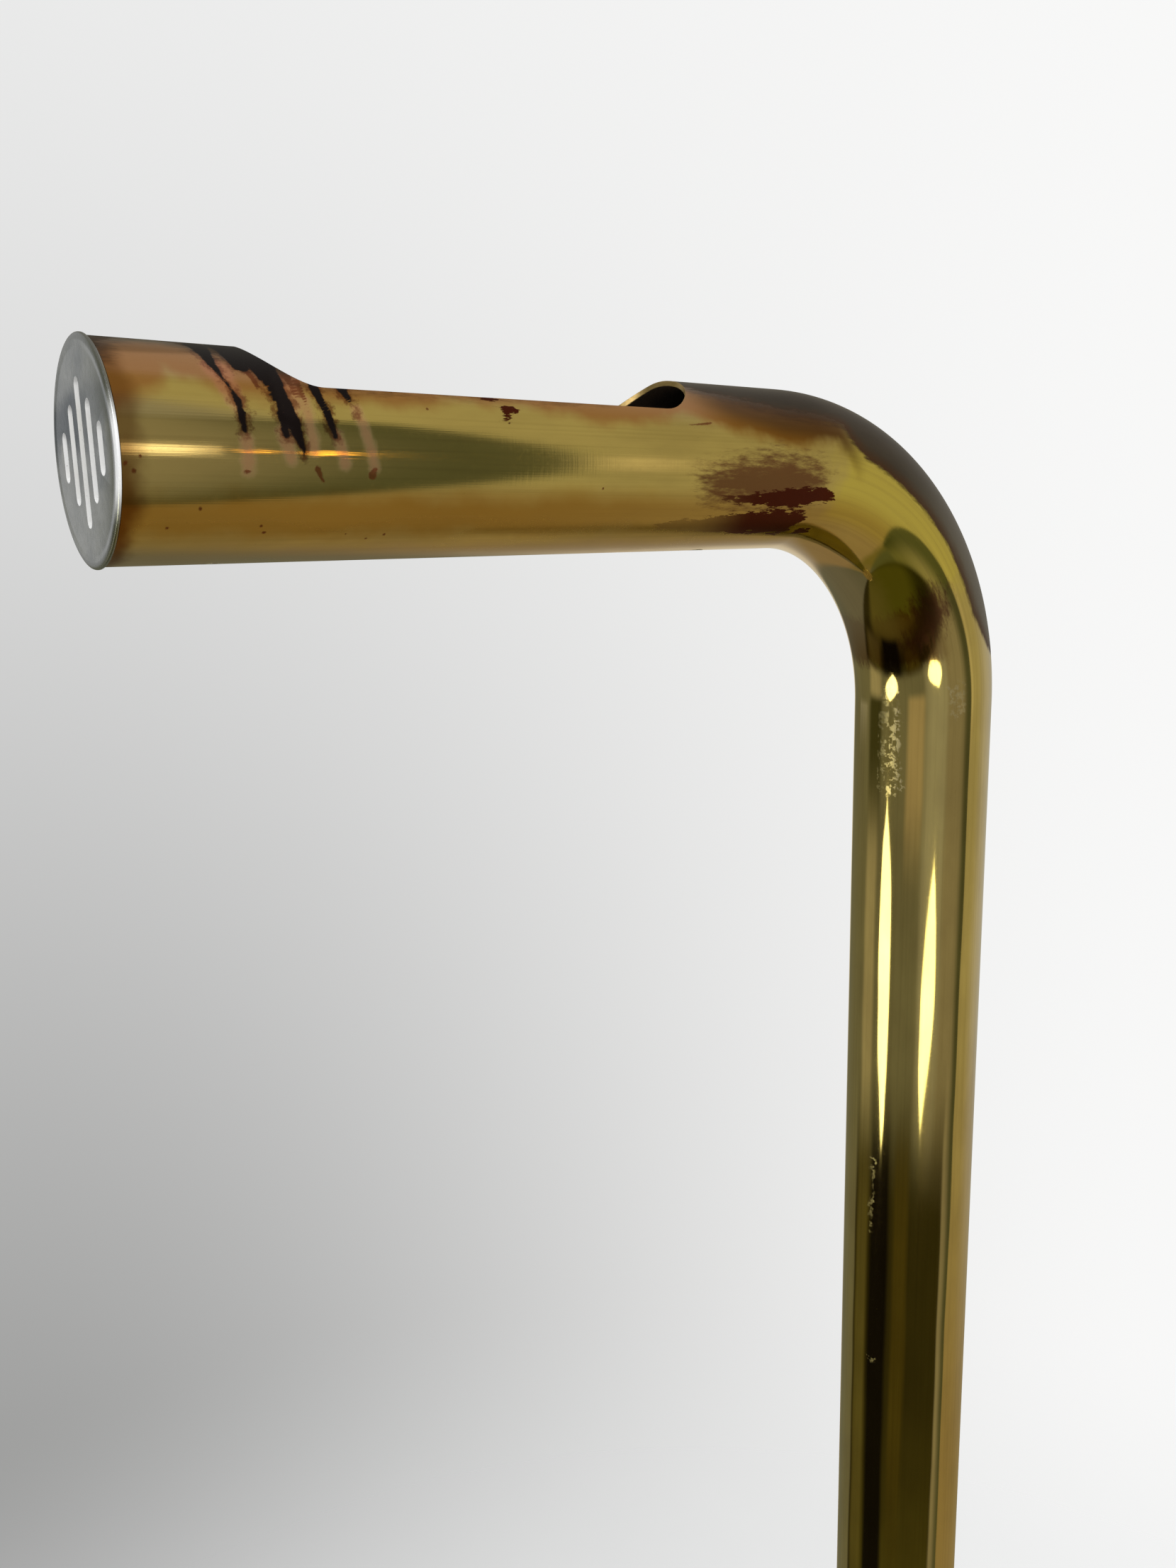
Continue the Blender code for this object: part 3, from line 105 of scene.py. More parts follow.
class Graph:
    """Short names for the shader nodes that the materials use."""

    def __init__(self, tree):
        self.tree = tree

    def add(self, kind, inputs=(), **settings):
        node = self.tree.nodes.new(kind)
        for key, value in settings.items():
            setattr(node, key, value)
        for key, value in dict(inputs).items():
            self.put(node.inputs[key], value)
        return node

    def put(self, socket, value):
        if isinstance(value, bpy.types.NodeSocket):
            self.tree.links.new(value, socket)
        elif isinstance(value, tuple) and len(value) == 3 and socket.type == "RGBA":
            socket.default_value = (*value, 1)
        else:
            socket.default_value = value

    def math(self, operation, a, b=0.0, c=0.0, clamp=False):
        inputs = {0: a, 1: b, 2: c}
        return self.add("ShaderNodeMath", inputs, operation=operation, use_clamp=clamp).outputs[0]

    def times(self, a, b):
        return self.math("MULTIPLY", a, b)

    def minus(self, a, b):
        return self.math("SUBTRACT", a, b)

    def scaled(self, value, factor, offset):
        """The value times the factor, plus the offset."""
        return self.math("MULTIPLY_ADD", value, factor, offset)

    def split(self, vector):
        return self.add("ShaderNodeSeparateXYZ", {0: vector}).outputs

    def join(self, x, y, z):
        return self.add("ShaderNodeCombineXYZ", {0: x, 1: y, 2: z}).outputs[0]

    def smooth(self, value, low, high, start=0.0, end=1.0):
        """A soft step of value, from start at low to end at high."""
        inputs = {"Value": value, "From Min": low, "From Max": high, "To Min": start, "To Max": end}
        return self.add("ShaderNodeMapRange", inputs, interpolation_type="SMOOTHSTEP").outputs[0]

    def band(self, value, low, high, soft):
        """1 from low to high and 0 elsewhere, with soft edges."""
        rise = self.smooth(value, low - soft, low + soft)
        fall = self.smooth(value, high - soft, high + soft, 1.0, 0.0)
        return self.times(rise, fall)

    def noise(self, vector, scale, detail=3.0, roughness=0.55):
        inputs = {"Vector": vector, "Scale": scale, "Detail": detail, "Roughness": roughness}
        return self.add("ShaderNodeTexNoise", inputs).outputs["Fac"]

    def mix(self, factor, a, b):
        node = self.add("ShaderNodeMix", data_type="RGBA")
        self.put(node.inputs["Factor"], factor)
        self.put(node.inputs["A"], a)
        self.put(node.inputs["B"], b)
        return node.outputs["Result"]

    def grain(self, vector, scales, detail=3.0, roughness=0.55):
        """Noise with its own scale along each axis."""
        node = self.add("ShaderNodeVectorMath", {0: vector, 1: scales}, operation="MULTIPLY")
        return self.noise(node.outputs[0], 1.0, detail, roughness)

    def length(self, vector):
        return self.add("ShaderNodeVectorMath", {0: vector}, operation="LENGTH").outputs["Value"]

    def bump(self, height, distance, strength=1.0, normal=None):
        node = self.add("ShaderNodeBump", {"Strength": strength, "Distance": distance, "Height": height})
        if normal is not None:
            self.put(node.inputs["Normal"], normal)
        return node.outputs["Normal"]

    def attribute(self, name, kind="Vector"):
        return self.add("ShaderNodeAttribute", attribute_name=name).outputs[kind]

    def value(self, name):
        """The single number of an attribute."""
        return self.attribute(name, "Fac")

    def place(self):
        return self.add("ShaderNodeTexCoord").outputs["Object"]


def new_material(name, **constants):
    """A Principled material and its graph. Constants go straight onto the shader's sockets."""
    material = bpy.data.materials.new(name)
    material.use_nodes = True
    graph = Graph(material.node_tree)
    shader = material.node_tree.nodes["Principled BSDF"]
    for key, value in constants.items():
        graph.put(shader.inputs[key.replace("_", " ")], value)
    return material, graph, shader


def link(graph, shader, **sockets):
    """Joins the outputs of a graph to the sockets of its shader."""
    for key, value in sockets.items():
        graph.put(shader.inputs[key.replace("_", " ")], value)


# ---------------------------------------------------------------- material of the tube


# Burnt lacquer that ran down from the opening: (s, g, half width) in mm
BLACK_RUNS = [
    [(23.2, 9, 2.6), (23.8, 18, 1.2), (24.6, 22, 0.5), (26.4, 27, 0.35), (26.9, 29, 0.7), (27.2, 33, 0.85),
     (27.3, 36, 0.7)],
    [(28.2, 32, 0.5)],
    [(30, 8, 4), (30.4, 18.6, 2.2)],
    [(33.2, 12, 3.2), (34.6, 24, 0.7), (35.6, 28.5, 0.4)],
    [(36.4, 12, 2.6), (36.8, 21, 2.1), (37.4, 27, 1.6), (38.0, 31, 2.1), (39.2, 34.5, 1.8), (40.4, 38.5, 0.9),
     (41, 41, 0.3)],
    [(36.4, 32, 0.9), (37.0, 36.4, 1.0)],
    [(46.2, 24, 1.3), (47.2, 28.5, 1.1), (48.4, 33, 1.0), (49, 36.6, 0.6)],
    [(53.4, 24, 1.4), (54.5, 27.6, 0.7)],
    [(55.6, 31.4, 0.45)],
]
BROWN_RUNS = [
    [(31.2, 20, 0.9), (33, 26, 0.5)],
    [(40.4, 21, 1.2), (41.2, 27.5, 0.35)],
    [(42.6, 23, 0.8), (43.2, 29, 0.5), (43.4, 31, 0.3)],
    [(44.2, 44.2, 0.9), (45.7, 47.2, 0.2)],
    [(58.2, 45.3, 1.1), (58.9, 44.2, 0.7)],
    [(27, 45, 0.6), (28.2, 44.8, 0.3)],
    [(158, 29.7, 0.12), (166, 28.9, 0.3), (169, 28.4, 0.5)],
]
SPOTS = [
    (17, 53.6, 0.5), (10.3, 58.6, 0.45), (31.9, 58.3, 0.5), (32.9, 60.4, 0.45), (64.6, 61.5, 0.4),
    (60, 63, 0.3), (3.9, 42.1, 0.35), (2.4, 45.2, 0.5), (0.6, 43.6, 0.5), (128, 47.9, 0.4),
    (54, 61.2, 0.25), (75, 28.7, 0.25),
]  # (s, g, radius) in mm
STAINS = [
    [(27.6, 38, 1.4), (27.6, 44.4, 1.4)],
    [(36.8, 36, 2.0), (37.6, 42, 1.3)],
    [(43, 28, 1.3), (43.4, 40, 1.2)],
    [(55.6, 30, 1.3), (57.4, 37, 1.1), (58.7, 43.5, 1.2)],
    [(49.6, 36, 1.0), (51.2, 42.8, 1.4)],
    [(24.4, 20, 3.2), (26.4, 30, 1.8)],
    [(40, 22, 3.2), (39, 30, 2.6)],
]


def patina_shape(points):
    """A closed outline in (s, g) mm that is the same on both sides of the tube."""
    return points + [(s, -g) for s, g in reversed(points)]


# Outlines in (s, g) mm
CROWN_OUTLINE = patina_shape(
    [(-5, 0), (-5, 24), (0.5, 20), (4, 12), (8, 9), (16, 9), (20, 12), (22, 14), (27, 17), (36, 22),
     (50, 23.8), (90, 23.4), (130, 23), (164, 14), (172, 17), (184, 20), (200, 24), (216, 25.5), (225, 26),
     (227.5, 31), (234, 35.5), (250, 37.4), (275, 38.3), (300, 38.8), (312, 38.4), (320, 36), (327, 32),
     (331, 28), (334, 20), (336, 0)]
)
SOOT_PATCHES = [
    [(95.5, 30.8), (97.4, 29.4), (97.2, 26.8), (99, 25.8), (100.8, 26.2), (101.2, 27.6), (103, 27),
     (102.2, 29.6), (100, 29.2), (98.4, 31)],
    [(90.5, 23.4), (97.5, 23.4), (96.4, 25.4), (93.4, 25.8), (91.6, 24.8)],
    [(172, 50.5), (187, 49), (200, 47.4), (206, 46.8), (215, 46.6), (221, 47.8), (222.4, 50), (218, 51.6),
     (206, 53), (190, 53.6)],
    [(150, 59), (184, 55.4), (196, 54.2), (209, 54.2), (212.4, 55.4), (213, 58.2), (210, 60.6), (205, 64.4),
     (184, 63.6), (150, 61)],
    [(210.4, 63), (214, 61.6), (219, 61), (220, 63), (215, 64.8), (211, 64.4)],
]
PEEL_PATCHES = [
    [(335, 47), (350, 47), (352, 52), (337, 53)],
    [(334, 72), (350, 71), (354, 80), (340, 83)],
    [(366, 69), (378, 69), (382, 77), (372, 82), (366, 78)],
    [(528, 76), (548, 74), (562, 78), (546, 83), (532, 80)],
    [(600, 73), (616, 71), (624, 77), (608, 80)],
]
WORN_PATCHES = [
    [(160, 42), (180, 37), (200, 35), (214, 38), (219, 44), (215, 52), (196, 56), (166, 53)],
    [(288, 52), (296, 46), (306, 46.6), (316, 54), (322, 62), (314, 70), (304, 62), (292, 60)],
]
WARM_REACH = [
    (0, 13), (24, 13), (42, 6), (105, 4.5), (140, 12), (160, 12), (175, 14), (200, 12), (226, 7.5),
]  # how far the warm tint reaches past the crown: (s, reach) in mm


def signed_distance(points, outline):
    """Distance in mm from each (s, g) point to an outline, more than 0 inside it."""
    corners = np.array(outline, float)
    ends = np.roll(corners, -1, axis=0)
    best = np.full(len(points), 1e9)
    inside = np.zeros(len(points), bool)
    for a, b in zip(corners, ends):
        run = b - a
        offset = points - a
        along = np.clip(offset @ run / max(run @ run, 1e-9), 0, 1)
        best = np.minimum(best, np.linalg.norm(offset - along[:, None] * run, axis=1))
        crosses = (a[1] > points[:, 1]) != (b[1] > points[:, 1])
        rise = np.where(abs(run[1]) < 1e-9, 1e-9, run[1])
        inside ^= crosses & (points[:, 0] < a[0] + run[0] * (points[:, 1] - a[1]) / rise)
    return np.where(inside, best, -best)


def stroke_distance(points, lines):
    """Distance in mm from each (s, g) point to the nearest tapered stroke, less than 0 inside one."""
    best = np.full(len(points), 1e3)
    for line in lines:
        line = line * 2 if len(line) == 1 else line
        for (s1, g1, r1), (s2, g2, r2) in zip(line, line[1:]):
            start, run = np.array((s1, g1)), np.array((s2 - s1, g2 - g1), float)
            offset = points - start
            along = np.clip(offset @ run / max(run @ run, 1e-9), 0, 1)
            away = np.linalg.norm(offset - along[:, None] * run, axis=1)
            best = np.minimum(best, away - (r1 + (r2 - r1) * along))
    return best


def spot_distance(graph, s, g):
    """Distance in mm to the nearest small spot, less than 0 inside it."""
    place = graph.join(s, g, 0.0)
    least = None
    for spot_s, spot_g, radius in SPOTS:
        inputs = {0: place, 1: (spot_s, spot_g, 0.0)}
        node = graph.add("ShaderNodeVectorMath", inputs, operation="DISTANCE")
        distance = graph.minus(node.outputs["Value"], radius)
        least = distance if least is None else graph.math("MINIMUM", least, distance)
    return least


def tube_material():
    """Aged brass: tarnish and stains first, then burnt runs and the crown, then the roughness."""
    material, graph, shader = new_material("aged_brass", IOR=1.5)
    straight = graph.attribute("straight")
    s_m, out_m, near_m = graph.split(straight)
    s = graph.times(s_m, 1000.0)
    turn = graph.math("ARCTAN2", near_m, out_m)
    g = graph.times(turn, TUBE_RADIUS * 1000)
    side = graph.math("ABSOLUTE", g)
    grain = graph.noise(straight, 900.0, 4.0, 0.65)
    clouds = graph.grain(straight, (22.0, 60.0, 60.0), 4.0)
    wobble = graph.minus(graph.noise(straight, 420.0, 4.0, 0.7), 0.5)
    broad = graph.minus(graph.noise(straight, 70.0, 3.0), 0.5)
    flaky = graph.minus(graph.grain(straight, (170.0, 700.0, 700.0), 3.0, 0.7), 0.5)
    streaks = graph.grain(straight, (9.0, 820.0, 820.0), 3.0)
    arm = graph.smooth(s, 205.0, 240.0, 1.0, 0.0)

    # clean and tarnished brass
    colour = graph.mix(graph.smooth(clouds, 0.35, 0.72), (0.86, 0.68, 0.31), (0.72, 0.56, 0.26))
    clean = graph.band(graph.scaled(broad, 30.0, s), 222.0, 300.0, 7.0)
    clean = graph.times(clean, graph.smooth(side, 54.0, 60.0, 1.0, 0.0))
    colour = graph.mix(clean, colour, (0.93, 0.76, 0.22))
    colour = graph.mix(graph.times(graph.smooth(streaks, 0.42, 0.75), 0.26), colour, (0.50, 0.38, 0.16))
    low_side = graph.band(graph.scaled(broad, 9.0, side), 50.5, 61.5, 3.5)
    low_side = graph.times(low_side, graph.smooth(s, 90.0, 190.0, 0.75, 0.3))
    colour = graph.mix(graph.times(low_side, arm), colour, (0.64, 0.38, 0.08))
    arch = graph.band(graph.scaled(broad, 8.0, s), 259.0, 300.0, 2.0)
    arch = graph.times(arch, graph.band(side, 53.0, 73.0, 3.0))
    colour = graph.mix(graph.times(arch, 0.8), colour, (0.40, 0.36, 0.05))
    burnt = graph.band(graph.scaled(flaky, 14.0, s), 297.0, 325.0, 4.0)
    burnt = graph.times(burnt, graph.band(side, 54.0, 82.0, 5.0))
    colour = graph.mix(graph.times(burnt, 0.75), colour, (0.25, 0.085, 0.02))
    underside = graph.smooth(graph.scaled(broad, 8.0, side), 63.0, 71.0)
    underside = graph.times(underside, graph.smooth(s, 290.0, 330.0, 0.65, 0.0))
    colour = graph.mix(underside, colour, (0.72, 0.55, 0.40))

    # warm tint that the heat left beside the opening and the dark crown
    warm = graph.smooth(graph.scaled(broad, 9.0, graph.value("warm")), -1.0, 4.5)
    scorched = graph.smooth(s, 158.0, 182.0)
    warm_colour = graph.mix(scorched, (0.62, 0.30, 0.13), (0.42, 0.17, 0.025))
    near_crown = graph.times(scorched, graph.smooth(graph.value("crown"), -12.0, -3.0))
    warm_colour = graph.mix(near_crown, warm_colour, (0.125, 0.036, 0.004))
    warm = graph.times(warm, graph.smooth(s, 222.0, 236.0, 0.92, 0.0))
    colour = graph.mix(warm, colour, warm_colour)
    cap_end = graph.smooth(graph.scaled(broad, 12.0, s), 0.5, 6.5, 1.0, 0.0)
    cap_end = graph.times(cap_end, graph.smooth(side, 34.0, 54.0, 0.65, 1.0))
    colour = graph.mix(graph.times(cap_end, 0.9), colour, (0.24, 0.085, 0.012))

    # stains, worn patches and burnt runs
    stain = graph.smooth(graph.scaled(wobble, 2.4, graph.value("stain")), -0.9, 1.1, 0.6, 0.0)
    colour = graph.mix(stain, colour, (0.52, 0.20, 0.11))
    ragged = graph.scaled(flaky, 17.0, graph.value("worn"))
    worn_mask = graph.smooth(ragged, -2.5, 6.5, 0.0, 0.88)
    colour = graph.mix(worn_mask, colour, (0.205, 0.072, 0.048))
    soot_edge = graph.scaled(flaky, 7.0, graph.value("soot"))
    faded = graph.times(graph.band(s, 140.0, 176.0, 13.0), -0.65)
    soot_mask = graph.times(graph.smooth(soot_edge, -0.1, 0.35), graph.math("ADD", faded, 1.0))
    colour = graph.mix(soot_mask, colour, (0.12, 0.022, 0.010))
    drops = graph.math("MINIMUM", graph.value("brown"), spot_distance(graph, s, g))
    brown = graph.smooth(graph.scaled(wobble, 1.2, drops), -0.25, 0.2, 0.9, 0.0)
    colour = graph.mix(brown, colour, (0.26, 0.075, 0.028))
    peel = graph.smooth(graph.scaled(wobble, 9.0, graph.value("peel")), -0.4, 0.8)
    peel = graph.times(peel, graph.band(clouds, 0.40, 0.60, 0.02))
    peel = graph.times(peel, graph.smooth(wobble, -0.02, 0.05))
    colour = graph.mix(graph.times(peel, 0.3), colour, (0.95, 0.88, 0.68))
    black = graph.smooth(graph.scaled(wobble, 1.5, graph.value("black")), -0.25, 0.2, 1.0, 0.0)
    halo = graph.smooth(graph.scaled(wobble, 7.0, graph.value("black")), -0.2, 1.7, 0.8, 0.0)
    colour = graph.mix(halo, colour, (0.24, 0.075, 0.035))

    # the dark crown
    crown = graph.scaled(flaky, graph.smooth(s, 205.0, 235.0, 7.0, 3.0), graph.value("crown"))
    edge_low = graph.smooth(s, 215.0, 230.0, -3.5, -0.9)
    edge_high = graph.smooth(s, 215.0, 230.0, 3.5, 1.0)
    crown_mask = graph.smooth(crown, edge_low, edge_high)
    crown_colour = graph.mix(graph.smooth(clouds, 0.3, 0.7), (0.030, 0.019, 0.010), (0.052, 0.036, 0.021))
    crown_colour = graph.mix(graph.smooth(s, 235.0, 300.0), crown_colour, (0.125, 0.105, 0.075))
    crown_colour = graph.mix(graph.smooth(crown, 0.0, 6.0, 0.85, 0.0), crown_colour, (0.070, 0.026, 0.006))
    colour = graph.mix(crown_mask, colour, crown_colour)
    colour = graph.mix(black, colour, (0.010, 0.006, 0.006))
    freckles = graph.smooth(graph.noise(straight, 2600.0, 2.0, 0.5), 0.71, 0.78)
    freckles = graph.times(freckles, graph.smooth(clouds, 0.45, 0.7, 0.2, 0.8))
    colour = graph.mix(freckles, colour, (0.16, 0.08, 0.03))

    # how the light leaves the surface
    matt = graph.math("POWER", graph.math("MAXIMUM", crown_mask, black), 6.0)
    metallic = graph.scaled(matt, -0.45, 1.0)
    metallic = graph.scaled(stain, -0.34, metallic)
    covered = graph.math("MAXIMUM", matt, graph.times(graph.math("MAXIMUM", soot_mask, brown), 0.6))
    roughness = graph.scaled(arm, 0.045, 0.055)
    roughness = graph.scaled(graph.smooth(grain, 0.5, 0.8), 0.04, roughness)
    roughness = graph.scaled(graph.math("MAXIMUM", worn_mask, peel), 0.16, roughness)
    roughness = graph.scaled(covered, 0.36, roughness)
    hazy = graph.times(graph.smooth(side, 52.0, 58.0), graph.smooth(s, 150.0, 215.0, 1.0, 0.0))
    hazy = graph.times(hazy, graph.smooth(clouds, 0.35, 0.6, 0.5, 1.0))
    roughness = graph.scaled(hazy, 0.22, roughness)
    rubbed = graph.times(graph.band(side, 38.6, 41.8, 0.8), graph.band(s, 22.0, 56.0, 2.0))
    roughness = graph.scaled(rubbed, -0.07, roughness)

    # brush marks, comb marks and waves
    brush = graph.grain(straight, (26.0, 3800.0, 3800.0), 2.0)
    comb = graph.grain(straight, (1500.0, 45.0, 45.0), 2.0)
    lines = graph.scaled(comb, graph.smooth(s, 70.0, 105.0, 0.0, 0.45), brush)
    lines = graph.times(lines, graph.scaled(arm, 0.8, 0.2))
    height = graph.scaled(streaks, 0.5, lines)
    normal = graph.bump(height, 0.00001)
    normal = graph.bump(graph.times(grain, covered), 0.00002, 0.7, normal)
    waves = graph.grain(straight, (13.0, 34.0, 34.0), 1.0)
    normal = graph.bump(graph.times(waves, graph.smooth(s, 330.0, 400.0)), 0.0006, 1.0, normal)
    specular = graph.scaled(matt, -0.36, 0.5)
    link(graph, shader, Base_Color=colour, Metallic=metallic, Roughness=roughness, Normal=normal,
         Specular_IOR_Level=specular)
    return material


def inside_material():
    """Near-black, partly metallic brass for the inside of the tube."""
    material, graph, shader = new_material("blackened_inside", Specular_IOR_Level=0.3)
    straight = graph.attribute("straight")
    clouds = graph.noise(straight, 60.0, 5.0)
    grain = graph.noise(straight, 1500.0, 3.0)
    colour = graph.mix(graph.smooth(clouds, 0.3, 0.75), (0.012, 0.010, 0.009), (0.05, 0.032, 0.018))
    roughness = graph.smooth(grain, 0.2, 0.8, 0.55, 0.85)
    metallic = graph.smooth(clouds, 0.4, 0.9, 0.0, 0.5)
    normal = graph.bump(grain, 0.00005)
    link(graph, shader, Base_Color=colour, Roughness=roughness, Metallic=metallic, Normal=normal)
    return material


def cut_material():
    """The cut wall round the openings: tanned, matt brass."""
    material, graph, shader = new_material("cut_edge_brass", Metallic=0.9)
    place = graph.place()
    grain = graph.grain(place, (600.0, 600.0, 2600.0), 3.0)
    colour = graph.mix(grain, (0.45, 0.30, 0.10), (0.72, 0.52, 0.22))
    roughness = graph.smooth(grain, 0.2, 0.8, 0.28, 0.5)
    link(graph, shader, Base_Color=colour, Roughness=roughness, Normal=graph.bump(grain, 0.00003))
    return material


# ---------------------------------------------------------------- other materials


def metal(name, clean, dull, roughness, scales, marks=0.4, bump=0.00001, metallic=1.0):
    """A metal with cloudy tarnish, a directional or even grain, and small marks."""
    material, graph, shader = new_material(name, Metallic=metallic)
    place = graph.place()
    clouds = graph.noise(place, 45.0, 5.0, 0.6)
    grain = graph.grain(place, scales, 3.0, 0.6)
    specks = graph.noise(place, 1800.0, 2.0)
    colour = graph.mix(graph.smooth(clouds, 0.35, 0.75), clean, dull)
    dark = tuple(0.35 * channel for channel in dull)
    colour = graph.mix(graph.times(graph.smooth(specks, 0.68, 0.8), marks), colour, dark)
    rough = graph.scaled(graph.minus(grain, 0.5), 0.16, roughness)
    tarnish = graph.times(graph.smooth(clouds, 0.4, 0.8), 0.1)
    rough = graph.math("ADD", rough, tarnish, clamp=True)
    link(graph, shader, Base_Color=colour, Roughness=rough, Normal=graph.bump(grain, bump))
    return material


def plain(name, light, dark, roughness, scale, bump):
    """A ceramic, plastic or rubber: two tones, a grain and a matching roughness."""
    material, graph, shader = new_material(name)
    place = graph.place()
    clouds = graph.noise(place, 70.0, 4.0)
    grain = graph.noise(place, scale, 4.0, 0.6)
    tone = graph.scaled(graph.minus(grain, 0.5), 0.6, clouds)
    colour = graph.mix(graph.smooth(tone, 0.25, 0.75), light, dark)
    rough = graph.smooth(grain, 0.25, 0.75, roughness - 0.08, min(roughness + 0.08, 1.0))
    link(graph, shader, Base_Color=colour, Roughness=rough, Normal=graph.bump(grain, bump))
    return material


def sleeve_material():
    """Braided glass-fibre sleeve: two crossed sets of fine waves."""
    material, graph, shader = new_material("glass_fibre_braid", Specular_IOR_Level=0.35)
    x, y, z = graph.split(graph.place())
    turn = graph.math("ADD", graph.times(y, 2600.0), graph.times(z, 2600.0))
    run = graph.times(x, 4200.0)
    first = graph.math("SINE", graph.math("ADD", run, turn))
    second = graph.math("SINE", graph.minus(run, turn))
    weave = graph.times(first, second)
    colour = graph.mix(graph.smooth(weave, -0.9, 0.9), (0.55, 0.51, 0.42), (0.86, 0.83, 0.75))
    rough = graph.smooth(weave, -1.0, 1.0, 0.92, 0.72)
    link(graph, shader, Base_Color=colour, Roughness=rough, Normal=graph.bump(weave, 0.0001))
    return material


def earth_material():
    """Green insulation with a yellow stripe."""
    material, graph, shader = new_material("green_yellow_insulation", Specular_IOR_Level=0.4)
    place = graph.place()
    x, y, _ = graph.split(place)
    wave = graph.math("SINE", graph.times(graph.math("ADD", y, x), 1800.0))
    stripe = graph.smooth(wave, 0.1, 0.3)
    grain = graph.noise(place, 1500.0)
    colour = graph.mix(stripe, (0.05, 0.25, 0.04), (0.75, 0.62, 0.05))
    rough = graph.smooth(grain, 0.3, 0.7, 0.35, 0.5)
    link(graph, shader, Base_Color=colour, Roughness=rough, Normal=graph.bump(grain, 0.00002))
    return material


def glass_material():
    """Clear quartz with a slight haze."""
    material, graph, shader = new_material("quartz_glass_clear", IOR=1.46, Transmission_Weight=1.0)
    haze = graph.noise(graph.place(), 260.0, 4.0)
    colour = graph.mix(haze, (0.93, 0.95, 0.96), (0.99, 0.99, 0.99))
    rough = graph.smooth(haze, 0.45, 0.8, 0.01, 0.09)
    link(graph, shader, Base_Color=colour, Roughness=rough)
    return material


def cap_material():
    """Nickel with a painted bluish dark reflection across its upper half, and a painted highlight on its rim.
    """
    material, graph, shader = new_material("cloudy_nickel_with_painted_light")
    place = graph.place()
    _, y, z = graph.split(place)
    clouds = graph.noise(place, 75.0, 4.0, 0.6)
    grain = graph.grain(place, (900.0, 1500.0, 500.0), 3.0, 0.6)
    height = graph.scaled(clouds, 0.016, z)
    # painted reflection: a dark bluish band across the upper half of the face, strongest towards +Y
    painted_reflection = graph.band(height, ARM_Z + 10.5 * MM, ARM_Z + 21.5 * MM, 3.5 * MM)
    painted_reflection = graph.times(painted_reflection, graph.smooth(y, -14.0 * MM, 8.0 * MM, 0.45, 0.95))
    colour = graph.mix(graph.smooth(clouds, 0.35, 0.7), (0.66, 0.67, 0.66), (0.44, 0.46, 0.48))
    colour = graph.mix(painted_reflection, colour, (0.12, 0.15, 0.19))
    specks = graph.smooth(graph.noise(place, 1500.0, 2.0), 0.7, 0.8, 0.0, 0.5)
    colour = graph.mix(specks, colour, (0.14, 0.11, 0.08))

    # the rounded rim: grey, with a painted near-white highlight at mid height on its -Y side, where it would
    # catch the window
    reach = graph.length(graph.join(0.0, y, graph.minus(z, ARM_Z)))
    rim = graph.smooth(reach, 24.1 * MM, 24.7 * MM)
    colour = graph.mix(rim, colour, (0.42, 0.43, 0.43))
    # painted highlight: near-white, less metallic colour on the rim where the window's glint falls
    light = graph.times(rim, graph.band(z, ARM_Z - 13 * MM, ARM_Z + 8 * MM, 5 * MM))
    light = graph.times(light, graph.smooth(y, -21.0 * MM, -14.0 * MM, 1.0, 0.0))
    colour = graph.mix(light, colour, (0.97, 0.97, 0.96))
    metallic = graph.scaled(light, -0.9, 1.0)
    rough = graph.smooth(grain, 0.2, 0.8, 0.2, 0.3)
    normal = graph.bump(grain, 0.000005)
    link(graph, shader, Base_Color=colour, Metallic=metallic, Roughness=rough, Normal=normal)
    return material


def felt_material():
    """Dark wool felt with short fibres."""
    material, graph, shader = new_material("wool_felt", Specular_IOR_Level=0.1, Sheen_Weight=0.25)
    place = graph.place()
    fibres = graph.grain(place, (2400.0, 2400.0, 5200.0), 5.0, 0.7)
    colour = graph.mix(graph.smooth(fibres, 0.35, 0.7), (0.018, 0.018, 0.016), (0.06, 0.06, 0.055))
    rough = graph.smooth(fibres, 0.3, 0.7, 0.9, 1.0)
    link(graph, shader, Base_Color=colour, Roughness=rough, Normal=graph.bump(fibres, 0.0003))
    return material


BRASS = tube_material()
INSIDE = inside_material()
CUT = cut_material()
POLISHED = metal("polished_brass_worn", (0.84, 0.65, 0.24), (0.66, 0.47, 0.17), 0.16, (400.0, 400.0, 2500.0))
NICKEL = metal("satin_nickel_worn", (0.60, 0.60, 0.59), (0.40, 0.40, 0.41), 0.3, (1500.0, 700.0, 700.0),
               marks=0.5, bump=0.000015)
ALUMINIUM = metal("hammered_aluminium", (0.9, 0.9, 0.9), (0.78, 0.77, 0.75), 0.14, (260.0, 260.0, 260.0),
                  marks=0.2, bump=0.00012)
STEEL = metal("zinc_plated_steel", (0.62, 0.63, 0.66), (0.48, 0.47, 0.44), 0.34, (700.0, 700.0, 700.0),
              marks=0.5)
TUNGSTEN = metal("drawn_tungsten", (0.32, 0.32, 0.33), (0.22, 0.22, 0.23), 0.42, (3000.0, 3000.0, 3000.0),
                 marks=0.3)
IRON = metal("rough_cast_iron", (0.11, 0.105, 0.1), (0.06, 0.05, 0.045), 0.7, (500.0, 500.0, 500.0),
             marks=0.6, bump=0.0003, metallic=0.6)
CAP_NICKEL = cap_material()
